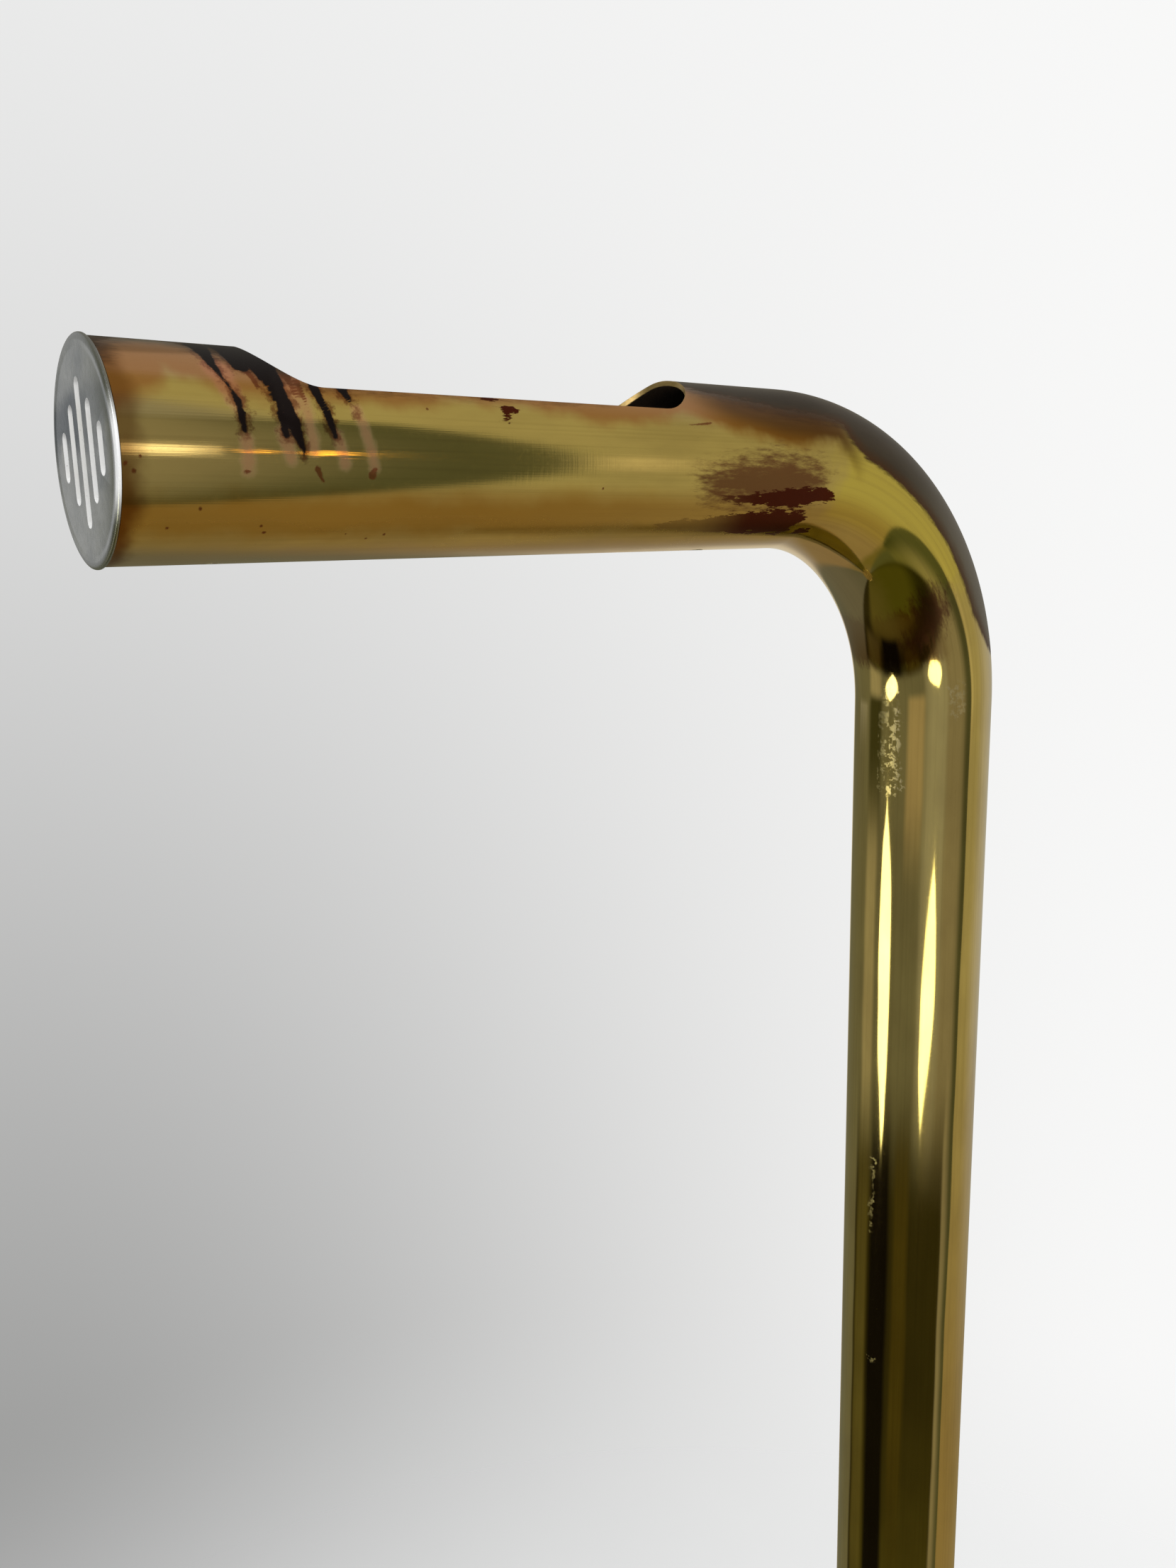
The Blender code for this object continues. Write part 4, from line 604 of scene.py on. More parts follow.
# painted highlight: the slot walls are near-white and not metallic, standing in for the window light their
# metal reflects
SLOT_WALL_PAINTED_HIGHLIGHT = metal("bright_slot_wall", (0.99, 0.99, 0.98), (0.84, 0.83, 0.78), 0.4, (900.0, 900.0, 900.0),
                  marks=0.7, bump=0.00004, metallic=0.0)
CERAMIC = plain("steatite_ceramic", (0.86, 0.84, 0.78), (0.74, 0.70, 0.62), 0.48, 1400.0, 0.00004)
BAKELITE = plain("moulded_black_plastic", (0.035, 0.031, 0.028), (0.02, 0.018, 0.016), 0.36, 1100.0,
                 0.00002)
RUBBER = plain("black_lead_sheath", (0.03, 0.03, 0.03), (0.018, 0.018, 0.018), 0.55, 900.0, 0.00003)
SLEEVE = sleeve_material()
EARTH = earth_material()
GLASS = glass_material()
FELT = felt_material()

SLOT_MATERIALS = {
    "brass": POLISHED,
    "polished_brass": POLISHED,
    "satin_nickel": NICKEL,
    "bright_aluminium": ALUMINIUM,
    "zinc_steel": STEEL,
    "tungsten": TUNGSTEN,
    "cast_iron": IRON,
    "white_ceramic": CERAMIC,
    "quartz_glass": GLASS,
    "glass_fibre_sleeve": SLEEVE,
    "earth_wire_green": EARTH,
    "black_lead": RUBBER,
    "black_plastic": BAKELITE,
    "dark_felt": FELT,
}


def dress_cad_nodes():
    """Gives every CAD node that stays in view its procedural material."""
    for node in NODES.values():
        for index, material in enumerate(node.data.materials):
            name = material.name.split(".")[0]
            node.data.materials[index] = SLOT_MATERIALS[name]


# ---------------------------------------------------------------- geometry of the tube


def tube_frame(s):
    """Centre of the tube at s, and the outward direction there, as (x, z) pairs."""
    if s <= ARM_LENGTH:
        return (ARM_END_X + s, ARM_Z), (0.0, 1.0)
    if s <= BEND_END:
        turn = (s - ARM_LENGTH) / BEND_RADIUS
        out = (math.sin(turn), math.cos(turn))
        centre = (-BEND_RADIUS + BEND_RADIUS * out[0], ARM_Z - BEND_RADIUS + BEND_RADIUS * out[1])
        return centre, out
    return (0.0, ARM_Z - BEND_RADIUS - (s - BEND_END)), (1.0, 0.0)


def tube_point(s, turn, radius):
    """A point of the tube. The turn is 0 on the outer line and a quarter turn on the -Y side."""
    (x, z), (out_x, out_z) = tube_frame(s)
    reach = radius * math.cos(turn)
    return (x + out_x * reach, -radius * math.sin(turn), z + out_z * reach)


def opening_corner_point(sides, half_length, half_width, corner, share):
    """A point on a rounded rectangle, share of the way from one corner's middle to the next."""
    points = []
    for quarter in (sides, sides + 1):
        sign_u, sign_v = ((-1, -1), (1, -1), (1, 1), (-1, 1))[quarter % 4]
        centre = (sign_u * (half_length - corner), sign_v * (half_width - corner))
        middle = 225 + 90 * quarter
        start, end = (middle, middle + 45) if quarter == sides else (middle - 45, middle)
        for step in range(13):
            angle = math.radians(start + (end - start) * step / 12)
            points.append((centre[0] + corner * math.cos(angle), centre[1] + corner * math.sin(angle)))
    lengths = [0.0]
    for a, b in zip(points, points[1:]):
        lengths.append(lengths[-1] + math.dist(a, b))
    wanted = share * lengths[-1]
    for i in range(len(points) - 1):
        if wanted <= lengths[i + 1] or i == len(points) - 2:
            t = (wanted - lengths[i]) / max(lengths[i + 1] - lengths[i], 1e-12)
            a, b = points[i], points[i + 1]
            return a[0] + (b[0] - a[0]) * t, a[1] + (b[1] - a[1]) * t


class TubeBuilder:
    """Meshes the tube wall: a grid outside and inside, with a ring of faces round each hole."""

    def __init__(self):
        self.points = []
        self.straight = []
        self.faces = []
        self.kinds = []

    def vertex(self, s, turn, radius):
        self.points.append(tube_point(s, turn, radius))
        self.straight.append((s, radius * math.cos(turn), radius * math.sin(turn)))
        return len(self.points) - 1

    def face(self, corners, kind):
        self.faces.append(corners)
        self.kinds.append(kind)

    def wall(self, stations, radius, holes, outside):
        """A grid over the whole tube at one radius, less the block round each hole."""
        angles = [2 * math.pi * j / TUBE_SIDES for j in range(TUBE_SIDES)]
        grid = [[self.vertex(s, angle, radius) for angle in angles] for s in stations]
        blocked = set()
        for hole in holes:
            for i in range(hole["i0"], hole["i1"]):
                for j in range(hole["j0"], hole["j1"]):
                    blocked.add((i, j % TUBE_SIDES))
        kind = OUTSIDE_FACE if outside else INSIDE_FACE
        for i in range(len(stations) - 1):
            for j in range(TUBE_SIDES):
                if (i, j) in blocked:
                    continue
                k = (j + 1) % TUBE_SIDES
                corners = (grid[i][j], grid[i][k], grid[i + 1][k], grid[i + 1][j])
                self.face(corners if outside else corners[::-1], kind)
        return grid

    def ring(self, stations, grid, hole, radius, level, outside):
        """Joins the block's edge to the hole's outline, and returns the outline's vertices."""
        steps = hole["steps"] if outside else (0.0, 0.1, 0.4, 1.0)
        i0, i1, j0, j1 = hole["i0"], hole["i1"], hole["j0"], hole["j1"]
        along = [(stations[i] - stations[i0]) / (stations[i1] - stations[i0]) for i in range(i0, i1 + 1)]
        edge = [(i, j0, 0, along[i - i0]) for i in range(i0, i1)]
        edge += [(i1, j, 1, (j - j0) / (j1 - j0)) for j in range(j0, j1)]
        edge += [(i, j1, 2, 1 - along[i - i0]) for i in range(i1, i0, -1)]
        edge += [(i0, j, 3, (j1 - j) / (j1 - j0)) for j in range(j1, j0, -1)]
        loops = [[] for _ in steps]
        for i, j, side, share in edge:
            u, v = hole["outline"](side, share, level)
            far_s, far_turn = stations[i], 2 * math.pi * j / TUBE_SIDES
            near_s, near_turn = hole["s"] + u, hole["turn"] + math.asin(v / radius)
            for loop, step in zip(loops, steps):
                if step == 1.0:
                    loop.append(grid[i][j % TUBE_SIDES])
                    continue
                step_s = near_s + (far_s - near_s) * step
                step_turn = near_turn + (far_turn - near_turn) * step
                loop.append(self.vertex(step_s, step_turn, radius))
        self.bridge(loops, OUTSIDE_FACE if outside else INSIDE_FACE, outside)
        return loops[0], edge

    def bridge(self, loops, kind, outside):
        for inner, outer in zip(loops, loops[1:]):
            count = len(inner)
            for k in range(count):
                n = (k + 1) % count
                corners = (inner[k], inner[n], outer[n], outer[k])
                self.face(corners if outside else corners[::-1], kind)

    def rim(self, hole, edge, outer_loop, inner_loop):
        """The cut wall between the outer and inner outlines, with a small rounding at each edge."""
        loops = [outer_loop]
        for level, radius in hole["rim"]:
            loop = []
            for _, _, side, share in edge:
                u, v = hole["outline"](side, share, level)
                loop.append(self.vertex(hole["s"] + u, hole["turn"] + math.asin(v / radius), radius))
            loops.append(loop)
        loops.append(inner_loop)
        self.bridge(loops, CUT_FACE, False)


def tube_stations():
    """Places along the tube: close together where the heat marks are."""
    dimmer = (DIMMER_S - DIMMER_BLOCK, DIMMER_S + DIMMER_BLOCK)
    marks = [0.0, 0.0265, 0.064, 0.1775, ARM_LENGTH, BEND_END, *dimmer, TUBE_LENGTH]
    steps = [0.0008, 0.0008, 0.0020, 0.0020, 0.0020, 0.030, 0.0043, 0.030]
    stations = [0.0]
    for low, high, step in zip(marks, marks[1:], steps):
        count = max(1, round((high - low) / step))
        stations += [low + (high - low) * (n + 1) / count for n in range(count)]
    return stations


def nearest(values, wanted):
    return min(range(len(values)), key=lambda i: abs(values[i] - wanted))


def round_outline(radii):
    """An outline function for a round hole whose radius depends on the level."""
    def outline(side, share, level):
        angle = math.radians(225 + 90 * (side + share))
        return radii[level] * math.cos(angle), radii[level] * math.sin(angle)
    return outline


def build_tube():
    """The bent brass tube, with the light opening, two countersunk screw holes and the dimmer's hole."""
    stations = tube_stations()
    per_side = 2 * math.pi / TUBE_SIDES
    half_length = (OPENING_HIGH_X - OPENING_LOW_X) / 2

    def opening_outline(side, share, level):
        grow = CUT_EDGE if level == 0 else 0.0
        sizes = (half_length + grow, OPENING_HALF_WIDTH + grow, OPENING_CORNER + grow)
        return opening_corner_point(side, *sizes, share)

    def hole(s, turn, reach_s, reach_turn, outline, rim, steps):
        middle = round(turn / per_side)
        return {
            "s": s, "turn": turn, "outline": outline, "rim": rim, "steps": steps,
            "i0": nearest(stations, s - reach_s), "i1": nearest(stations, s + reach_s),
            "j0": middle - round(reach_turn / per_side), "j1": middle + round(reach_turn / per_side),
        }

    middle_radius = (TUBE_RADIUS + TUBE_INSIDE) / 2
    straight_cut = [(1, TUBE_RADIUS - CUT_EDGE), (1, middle_radius), (1, TUBE_INSIDE + CUT_EDGE)]
    opening_steps = (0.0, 0.02, 0.055, 0.1, 0.155, 0.22, 0.29, 0.37, 0.45, 0.54, 0.64, 0.75, 0.87, 1.0)
    opening = hole(LAMP_X - ARM_END_X, 0.0, half_length + 0.007, math.radians(70), opening_outline,
                   straight_cut, opening_steps)
    sink = round_outline({0: 3.15 * MM, 1: 3.05 * MM, 2: 1.8 * MM})
    sink_cut = [(1, TUBE_RADIUS - 0.1 * MM), (2, TUBE_INSIDE + 0.4 * MM)]
    round_steps = (0.0, 0.15, 0.5, 1.0)
    sinks = [
        hole(x - ARM_END_X, math.pi, 0.0062, math.radians(14), sink, sink_cut, round_steps)
        for x in (-273.0 * MM, -117.0 * MM)
    ]
    bush = round_outline({0: 5.4 * MM, 1: 5.3 * MM})
    dimmer = hole(DIMMER_S, math.pi / 2, DIMMER_BLOCK, math.radians(19), bush, straight_cut, round_steps)
    holes = [opening, *sinks, dimmer]

    builder = TubeBuilder()
    outer = builder.wall(stations, TUBE_RADIUS, holes, True)
    inner = builder.wall(stations, TUBE_INSIDE, holes, False)
    for each in holes:
        last_level = 2 if each in sinks else 0
        outer_loop, edge = builder.ring(stations, outer, each, TUBE_RADIUS, 0, True)
        inner_loop, _ = builder.ring(stations, inner, each, TUBE_INSIDE, last_level, False)
        builder.rim(each, edge, outer_loop, inner_loop)
    for i, flip in ((0, False), (len(stations) - 1, True)):
        for j in range(TUBE_SIDES):
            k = (j + 1) % TUBE_SIDES
            corners = (outer[i][j], inner[i][j], inner[i][k], outer[i][k])
            builder.face(corners[::-1] if flip else corners, CUT_FACE)

    mesh = bpy.data.meshes.new("brass_tube")
    mesh.from_pydata(builder.points, [], builder.faces)
    for material in (BRASS, INSIDE, CUT):
        mesh.materials.append(material)
    mesh.polygons.foreach_set("material_index", builder.kinds)
    mesh.polygons.foreach_set("use_smooth", [True] * len(builder.faces))
    straight = np.array(builder.straight, np.float32)
    add_attribute(mesh, "straight", straight)
    girth = TUBE_RADIUS * 1000 * np.arctan2(straight[:, 2], straight[:, 1])
    flat = np.column_stack([straight[:, 0] * 1000, girth]).astype(float)
    crown = signed_distance(flat, CROWN_OUTLINE)
    add_attribute(mesh, "crown", crown)
    reach = np.interp(flat[:, 0], *zip(*WARM_REACH))
    add_attribute(mesh, "warm", crown + reach)
    for name, lines in (("black", BLACK_RUNS), ("brown", BROWN_RUNS), ("stain", STAINS)):
        add_attribute(mesh, name, stroke_distance(flat, lines))
    for name, patches in (("soot", SOOT_PATCHES), ("worn", WORN_PATCHES), ("peel", PEEL_PATCHES)):
        depths = [signed_distance(flat, outline) for outline in patches]
        add_attribute(mesh, name, np.max(depths, axis=0))
    set_tube_normals(mesh, builder)
    tube = bpy.data.objects.new("brass_tube", mesh)
    bpy.context.scene.collection.objects.link(tube)
    return tube


def add_attribute(mesh, name, values):
    """Keeps one number or one vector for each point of the mesh."""
    kind, field = ("FLOAT", "value") if values.ndim == 1 else ("FLOAT_VECTOR", "vector")
    attribute = mesh.attributes.new(name, kind, "POINT")
    attribute.data.foreach_set(field, values.astype(np.float32).ravel())


def set_tube_normals(mesh, builder):
    """True normals on the walls, and flat ones on the cut faces."""
    straight = np.array(builder.straight)
    outs = np.array([tube_frame(s)[1] for s in straight[:, 0]])
    turn = np.arctan2(straight[:, 2], straight[:, 1])
    round_normals = np.column_stack([outs[:, 0] * np.cos(turn), -np.sin(turn), outs[:, 1] * np.cos(turn)])
    loop_normals = np.zeros((len(mesh.loops), 3))
    for polygon, kind in zip(mesh.polygons, builder.kinds):
        for loop in polygon.loop_indices:
            if kind == CUT_FACE:
                loop_normals[loop] = polygon.normal
            else:
                normal = round_normals[mesh.loops[loop].vertex_index]
                loop_normals[loop] = normal if kind == OUTSIDE_FACE else -normal
    mesh.normals_split_custom_set(loop_normals.tolist())


# ---------------------------------------------------------------- small modelling tools


def in_mm(points):
    return [(first * MM, second * MM) for first, second in points]


def add_mesh(name, mesh, material):
    obj = bpy.data.objects.new(name, mesh)
    bpy.context.scene.collection.objects.link(obj)
    mesh.materials.clear()
    mesh.materials.append(material)
    return obj


def mesh_from(name, solid):
    """A mesh with the faces of a bmesh, which is then freed."""
    mesh = bpy.data.meshes.new(name)
    solid.to_mesh(mesh)
    solid.free()
    return mesh


def evaluated_mesh(obj):
    """An object's mesh after its modifiers or its curve settings."""
    bpy.context.view_layer.update()
    evaluated = obj.evaluated_get(bpy.context.evaluated_depsgraph_get())
    return bpy.data.meshes.new_from_object(evaluated)


def bake(obj):
    """Replaces an object's mesh with the result of its modifiers."""
    mesh = evaluated_mesh(obj)
    obj.modifiers.clear()
    obj.data = mesh


def smooth_shade(obj, angle):
    """Smooth shading, except across edges sharper than the angle in degrees."""
    obj.data.shade_smooth()
    obj.data.set_sharp_from_angle(angle=math.radians(angle))
    return obj


def circle(radius, height, steps):
    """A ring of points at one height. On the axis it is a single point."""
    if radius < 1e-9:
        return [(0, 0, height)]
    angles = [2 * math.pi * k / steps for k in range(steps)]
    return [(radius * math.cos(angle), radius * math.sin(angle), height) for angle in angles]


def stack_rings(name, rings, steps, origin, direction, closed=False):
    """Joins rings of points that are stacked along Z, then turns Z to the direction."""
    solid = bmesh.new()
    loops = []
    for ring in rings:
        vertices = [solid.verts.new(point) for point in ring]
        loops.append(vertices * steps if len(vertices) == 1 else vertices)
    pairs = list(zip(loops, loops[1:]))
    if closed:
        pairs.append((loops[-1], loops[0]))
    for first, second in pairs:
        for k in range(steps):
            n = (k + 1) % steps
            corners = list(dict.fromkeys((first[k], first[n], second[n], second[k])))
            if len(corners) >= 3:
                solid.faces.new(corners)
    bmesh.ops.recalc_face_normals(solid, faces=solid.faces)
    turn = Z_AXIS.rotation_difference(Vector(direction)).to_matrix().to_4x4()
    solid.transform(Matrix.Translation(origin) @ turn)
    return mesh_from(name, solid)


def lathe(name, profile, material, origin=(0, 0, 0), direction=Z_AXIS, steps=96, closed=False):
    """Turns (radius, height) points round an axis."""
    rings = [circle(radius, height, steps) for radius, height in profile]
    mesh = stack_rings(name, rings, steps, origin, direction, closed)
    return smooth_shade(add_mesh(name, mesh, material), 32)


def prism(name, outline, low, high, place):
    """An outline in (u, v) pushed from low to high, put in place by place(u, v, w)."""
    solid = bmesh.new()
    bottom = [solid.verts.new(place(u, v, low)) for u, v in outline]
    top = [solid.verts.new(place(u, v, high)) for u, v in outline]
    solid.faces.new(bottom)
    solid.faces.new(top)
    count = len(outline)
    for k in range(count):
        n = (k + 1) % count
        solid.faces.new((bottom[k], bottom[n], top[n], top[k]))
    bmesh.ops.recalc_face_normals(solid, faces=solid.faces)
    return mesh_from(name, solid)


def cut(target, meshes, operation="DIFFERENCE"):
    """Cuts an object with each mesh in turn, or keeps what they share."""
    tools = []
    for index, mesh in enumerate(meshes):
        tool = bpy.data.objects.new(f"tool_{index}", mesh)
        bpy.context.scene.collection.objects.link(tool)
        modifier = target.modifiers.new(f"cut_{index}", "BOOLEAN")
        modifier.operation = operation
        modifier.object = tool
        modifier.solver = "EXACT"
        tools.append(tool)
    bake(target)
    for tool in tools:
        bpy.data.objects.remove(tool, do_unlink=True)


def soften(obj, width, angle=40, segments=2):
    """Small bevels on the sharp edges, then smooth shading between them."""
    modifier = obj.modifiers.new("soften", "BEVEL")
    modifier.width = width
    modifier.segments = segments
    modifier.limit_method = "ANGLE"
    modifier.angle_limit = math.radians(angle)
    bake(obj)
    return smooth_shade(obj, 34)


def block(name, low, high, material, bevel):
    """A box with rounded edges between two corners."""
    outline = [(low[0], low[1]), (high[0], low[1]), (high[0], high[1]), (low[0], high[1])]
    mesh = prism(name, outline, low[2], high[2], lambda u, v, w: (u, v, w))
    return soften(add_mesh(name, mesh, material), bevel, segments=3)


def arc(centre, radius, start, end, steps):
    """Points on an arc in a plane, angles in degrees."""
    angles = [math.radians(start + (end - start) * i / steps) for i in range(steps + 1)]
    return [(centre[0] + radius * math.cos(a), centre[1] + radius * math.sin(a)) for a in angles]


def cylinder_mesh(name, start, end, radius, steps=64):
    solid = bmesh.new()
    start, end = Vector(start), Vector(end)
    length = (end - start).length
    bmesh.ops.create_cone(solid, cap_ends=True, segments=steps, radius1=radius, radius2=radius, depth=length)
    turn = Z_AXIS.rotation_difference((end - start).normalized()).to_matrix().to_4x4()
    solid.transform(Matrix.Translation((start + end) / 2) @ turn)
    return mesh_from(name, solid)


def wire(name, points, radius, material):
    """A round wire along a line of points."""
    curve = bpy.data.curves.new(name, "CURVE")
    curve.dimensions = "3D"
    curve.bevel_depth = radius
    curve.bevel_resolution = 2
    curve.use_fill_caps = True
    spline = curve.splines.new("POLY")
    spline.points.add(len(points) - 1)
    for point, place in zip(spline.points, points):
        point.co = (*place, 1)
    obj = bpy.data.objects.new(name, curve)
    bpy.context.scene.collection.objects.link(obj)
    mesh = evaluated_mesh(obj)
    bpy.data.objects.remove(obj, do_unlink=True)
    solid = bmesh.new()
    solid.from_mesh(mesh)
    bmesh.ops.remove_doubles(solid, verts=solid.verts, dist=MERGE)
    bmesh.ops.recalc_face_normals(solid, faces=solid.faces)
    solid.to_mesh(mesh)
    solid.free()
    mesh.shade_smooth()
    return add_mesh(name, mesh, material)


def stand_for(obj, body, slot, *nodes):
    """Hangs a piece on its body and puts it in place of CAD nodes. The slot argument is not used."""
    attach(obj, body)
    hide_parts(*nodes)


# ---------------------------------------------------------------- the cap


def build_cap():
    """The slotted end cap: a rounded disc with a spigot, and five round-ended slots."""
    outer, face, thickness, inset = 26.0 * MM, 24.2 * MM, 0.9 * MM, 1.6 * MM
    rim = outer - face
    groove = thickness - 0.12 * MM
    profile = [(0, thickness), (22.2 * MM, thickness), (22.9 * MM, groove), (23.4 * MM, groove)]
    for step in range(9):
        angle = math.radians(90 * step / 8)
        profile.append((face + rim * math.sin(angle), thickness - 0.55 * MM * (1 - math.cos(angle))))
    profile += [(outer, 0.12 * MM), (outer - 0.12 * MM, 0), (23.55 * MM, 0), (23.55 * MM, -8.5 * MM)]
    profile += [(23.05 * MM, -9 * MM), (21.95 * MM, -9 * MM), (21.95 * MM, -inset), (0, -inset)]
    origin = (ARM_END_X - 0.3 * MM, 0, ARM_Z)
    cap = lathe("slotted_end_cap", profile, CAP_NICKEL, origin, -X_AXIS, 128)
    tools = []
    for index, length in zip(range(-2, 3), (11.6, 22.6, 33.4, 22.6, 11.6)):
        half, reach = 1.9 * MM, length * MM / 2
        outline = arc((reach - half, 0), half, -90, 90, 12) + arc((half - reach, 0), half, 90, 270, 12)
        offset = index * 7.5 * MM

        def place(u, v, w, offset=offset):
            return origin[0] - w, v + offset, ARM_Z + u

        tools.append(prism(f"slot_{index}", outline, -4 * MM, 3 * MM, place))
    cut(cap, tools)
    soften(cap, 0.1 * MM, 55)

    # the walls of the slots take the second material, near-white as a painted highlight
    cap.data.materials.append(SLOT_WALL_PAINTED_HIGHLIGHT)
    for polygon in cap.data.polygons:
        reach = math.hypot(polygon.center.y, polygon.center.z - ARM_Z)
        if reach < 21 * MM and abs(polygon.normal.x) < 0.5:
            polygon.material_index = 1
    stand_for(cap, "lamp", "satin_nickel", "vent_cap")


# ---------------------------------------------------------------- lamp, reflector, holders and contact spring


def build_reflector():
    """Trough of bright sheet with rolled long edges."""
    radius, sheet, half_length = 20.3 * MM, 0.8 * MM, 52.3 * MM
    half_angle = math.radians(117)
    steps = 72
    section = []
    for i in range(steps + 1):
        angle = -math.pi / 2 + half_angle * (2 * i / steps - 1)
        section.append((radius * math.cos(angle), radius * math.sin(angle)))
    inside = [(y * (radius - sheet) / radius, z * (radius - sheet) / radius) for y, z in reversed(section)]
    ends = (LAMP_X - half_length, LAMP_X + half_length)
    mesh = prism("trough_reflector", section + inside, *ends, lambda u, v, w: (w, u, ARM_Z + v))
    reflector = soften(add_mesh("trough_reflector", mesh, ALUMINIUM), 0.2 * MM, 60)
    stand_for(reflector, "lamp", "bright_aluminium", "reflector")


def build_lamp():
    """Linear halogen lamp: clear tube with pinched ends, between ceramic ends."""
    half = 58.8  # half the length of the lamp, in mm
    glass_end = half - 13 + 4
    quarter = in_mm([(5.0, 0.0), (5.0, glass_end - 4.0), (4.7, glass_end - 2.2), (4.4, glass_end - 0.9),
                     (4.3, glass_end)])
    outside = [(r, -z) for r, z in reversed(quarter)] + quarter[1:]
    inside = [(r - 1.0 * MM, z) for r, z in reversed(outside)]
    centre = (LAMP_X, 0, ARM_Z)
    tube = lathe("halogen_tube", outside + inside, GLASS, centre, X_AXIS, 48, closed=True)
    stand_for(tube, "lamp", "quartz_glass", "lamp_tube")

    end_profile = in_mm([
        (0, half - 2.5), (2.1, half - 2.5), (2.2, half - 0.2), (2.4, half), (3.4, half), (3.8, half - 0.15),
        (4.0, half - 0.6), (4.0, half - 8.7), (3.85, half - 8.9), (3.7, half - 8.7), (3.7, half - 14.0),
        (0, half - 14.0),
    ])
    for name, side in (("front", -1), ("rear", 1)):
        end = lathe(f"ceramic_lamp_end_{name}", end_profile, CERAMIC, centre, X_AXIS * side, 40)
        stand_for(end, "lamp", "white_ceramic", f"lamp_end_{name}")

    turns, per_turn, length, coil_radius = 60, 12, 76 * MM, 0.8 * MM
    straight, reach = length / 2 + 1.5 * MM, (glass_end - 5.3) * MM
    points = [(LAMP_X - reach, 0, ARM_Z), (LAMP_X - straight, 0, ARM_Z)]
    for i in range(turns * per_turn + 1):
        angle = 2 * math.pi * i / per_turn
        along = length * (i / (turns * per_turn) - 0.5)
        across, up = coil_radius * math.cos(angle), coil_radius * math.sin(angle)
        points.append((LAMP_X + along, across, ARM_Z + up))
    points += [(LAMP_X + straight, 0, ARM_Z), (LAMP_X + reach, 0, ARM_Z)]
    coil = wire("filament_coil", points, 0.15 * MM, TUNGSTEN)
    stand_for(coil, "lamp", "tungsten", "lamp_filament")


def build_holders():
    """The two ceramic blocks: a recess for the lamp's end, a hole for the wire and one for a screw."""
    for name, side, length in (("front", -1, 16.0), ("rear", 1, 20.0)):
        inner = LAMP_X + side * 52.8 * MM
        outer = inner + side * length * MM
        low = (min(inner, outer), -9 * MM, ARM_Z - 13 * MM)
        high = (max(inner, outer), 9 * MM, ARM_Z + 9 * MM)
        holder = block(f"ceramic_holder_{name}", low, high, CERAMIC, 1.2 * MM)
        beyond = outer + side * MM
        bores = [
            ("recess", inner - side * MM, inner + side * 6.5 * MM, 0, 4.7, 48),
            ("guide", inner + side * 5 * MM, beyond, 0, 1.65, 32),
            ("screw_hole", outer - side * 7 * MM, beyond, -9 * MM, 1.85, 32),
        ]
        if side > 0:
            bores.append(("chamber", inner + 9.5 * MM, beyond, 0, 4.1, 48))
        cut(holder, [
            cylinder_mesh(bore, (start, 0, ARM_Z + rise), (end, 0, ARM_Z + rise), radius * MM, sides)
            for bore, start, end, rise, radius, sides in bores
        ])
        smooth_shade(holder, 34)
        stand_for(holder, "lamp", "white_ceramic", f"lampholder_{name}")


def build_spring():
    """The coil spring behind the sprung contact, built at one length; the real spring shortens as the contact
    is pushed back.
    """
    node = NODES["contact_spring"]
    reach = [(node.matrix_world @ vertex.co).x for vertex in node.data.vertices]
    wire_radius, coil_radius, turns, steps = 0.25 * MM, 2.8 * MM, 3, 96
    start = min(reach) + wire_radius
    length = max(reach) - wire_radius - start
    points = []
    for i in range(steps + 1):
        angle = 2 * math.pi * turns * i / steps
        across, up = coil_radius * math.cos(angle), coil_radius * math.sin(angle)
        points.append((start + length * i / steps, across, ARM_Z + up))
    spring = wire("contact_coil_spring", points, wire_radius, STEEL)
    stand_for(spring, "lamp", "zinc_steel", "contact_spring")
    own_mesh(spring)


# ---------------------------------------------------------------- dimmer


def on_dimmer(distance, x=0.0, z=0.0):
    """A point at a distance along the dimmer's axis from the post's axis, off to one side by x and z."""
    return Vector((x, -distance, DIMMER_Z + z))


def build_dimmer():
    """The saddle between post and knob, and the hexagon nut on it."""
    profile = in_mm([(5.3, 19.4), (5.3, 29.3), (5.5, 29.5), (9.6, 29.5), (10.3, 29.3), (10.8, 28.8),
                     (11, 28.1), (11, 19.4)])
    saddle = lathe("dimmer_post_saddle", profile, POLISHED, on_dimmer(0), -Y_AXIS, closed=True)
    cut(saddle, [cylinder_mesh("seat", on_dimmer(0, 0, -0.03), on_dimmer(0, 0, 0.03), 25.7 * MM, 192)])
    smooth_shade(saddle, 32)
    stand_for(saddle, "lamp", "polished_brass", "dimmer_saddle")

    corner = 14 / math.sqrt(3) * MM
    angles = [math.radians(60 * i) for i in range(6)]
    hexagon = [(corner * math.cos(angle), corner * math.sin(angle)) for angle in angles]
    mesh = prism("hex", hexagon, 29.8 * MM, 32.3 * MM, lambda u, v, w: on_dimmer(w, u, v))
    nut = add_mesh("dimmer_hex_nut", mesh, NICKEL)
    cone = in_mm([(0, 29.8), (7.1, 29.8), (8.2, 30.3), (8.2, 31.8), (7.1, 32.3), (0, 32.3)])
    rounding = lathe("rounding", cone, NICKEL, on_dimmer(0), -Y_AXIS, 64)
    rounding_mesh = rounding.data
    bpy.data.objects.remove(rounding, do_unlink=True)
    cut(nut, [rounding_mesh], "INTERSECT")
    cut(nut, [cylinder_mesh("thread", on_dimmer(28 * MM), on_dimmer(34 * MM), 5.3 * MM)])
    smooth_shade(nut, 25)
    stand_for(nut, "lamp", "satin_nickel", "dimmer_nut")


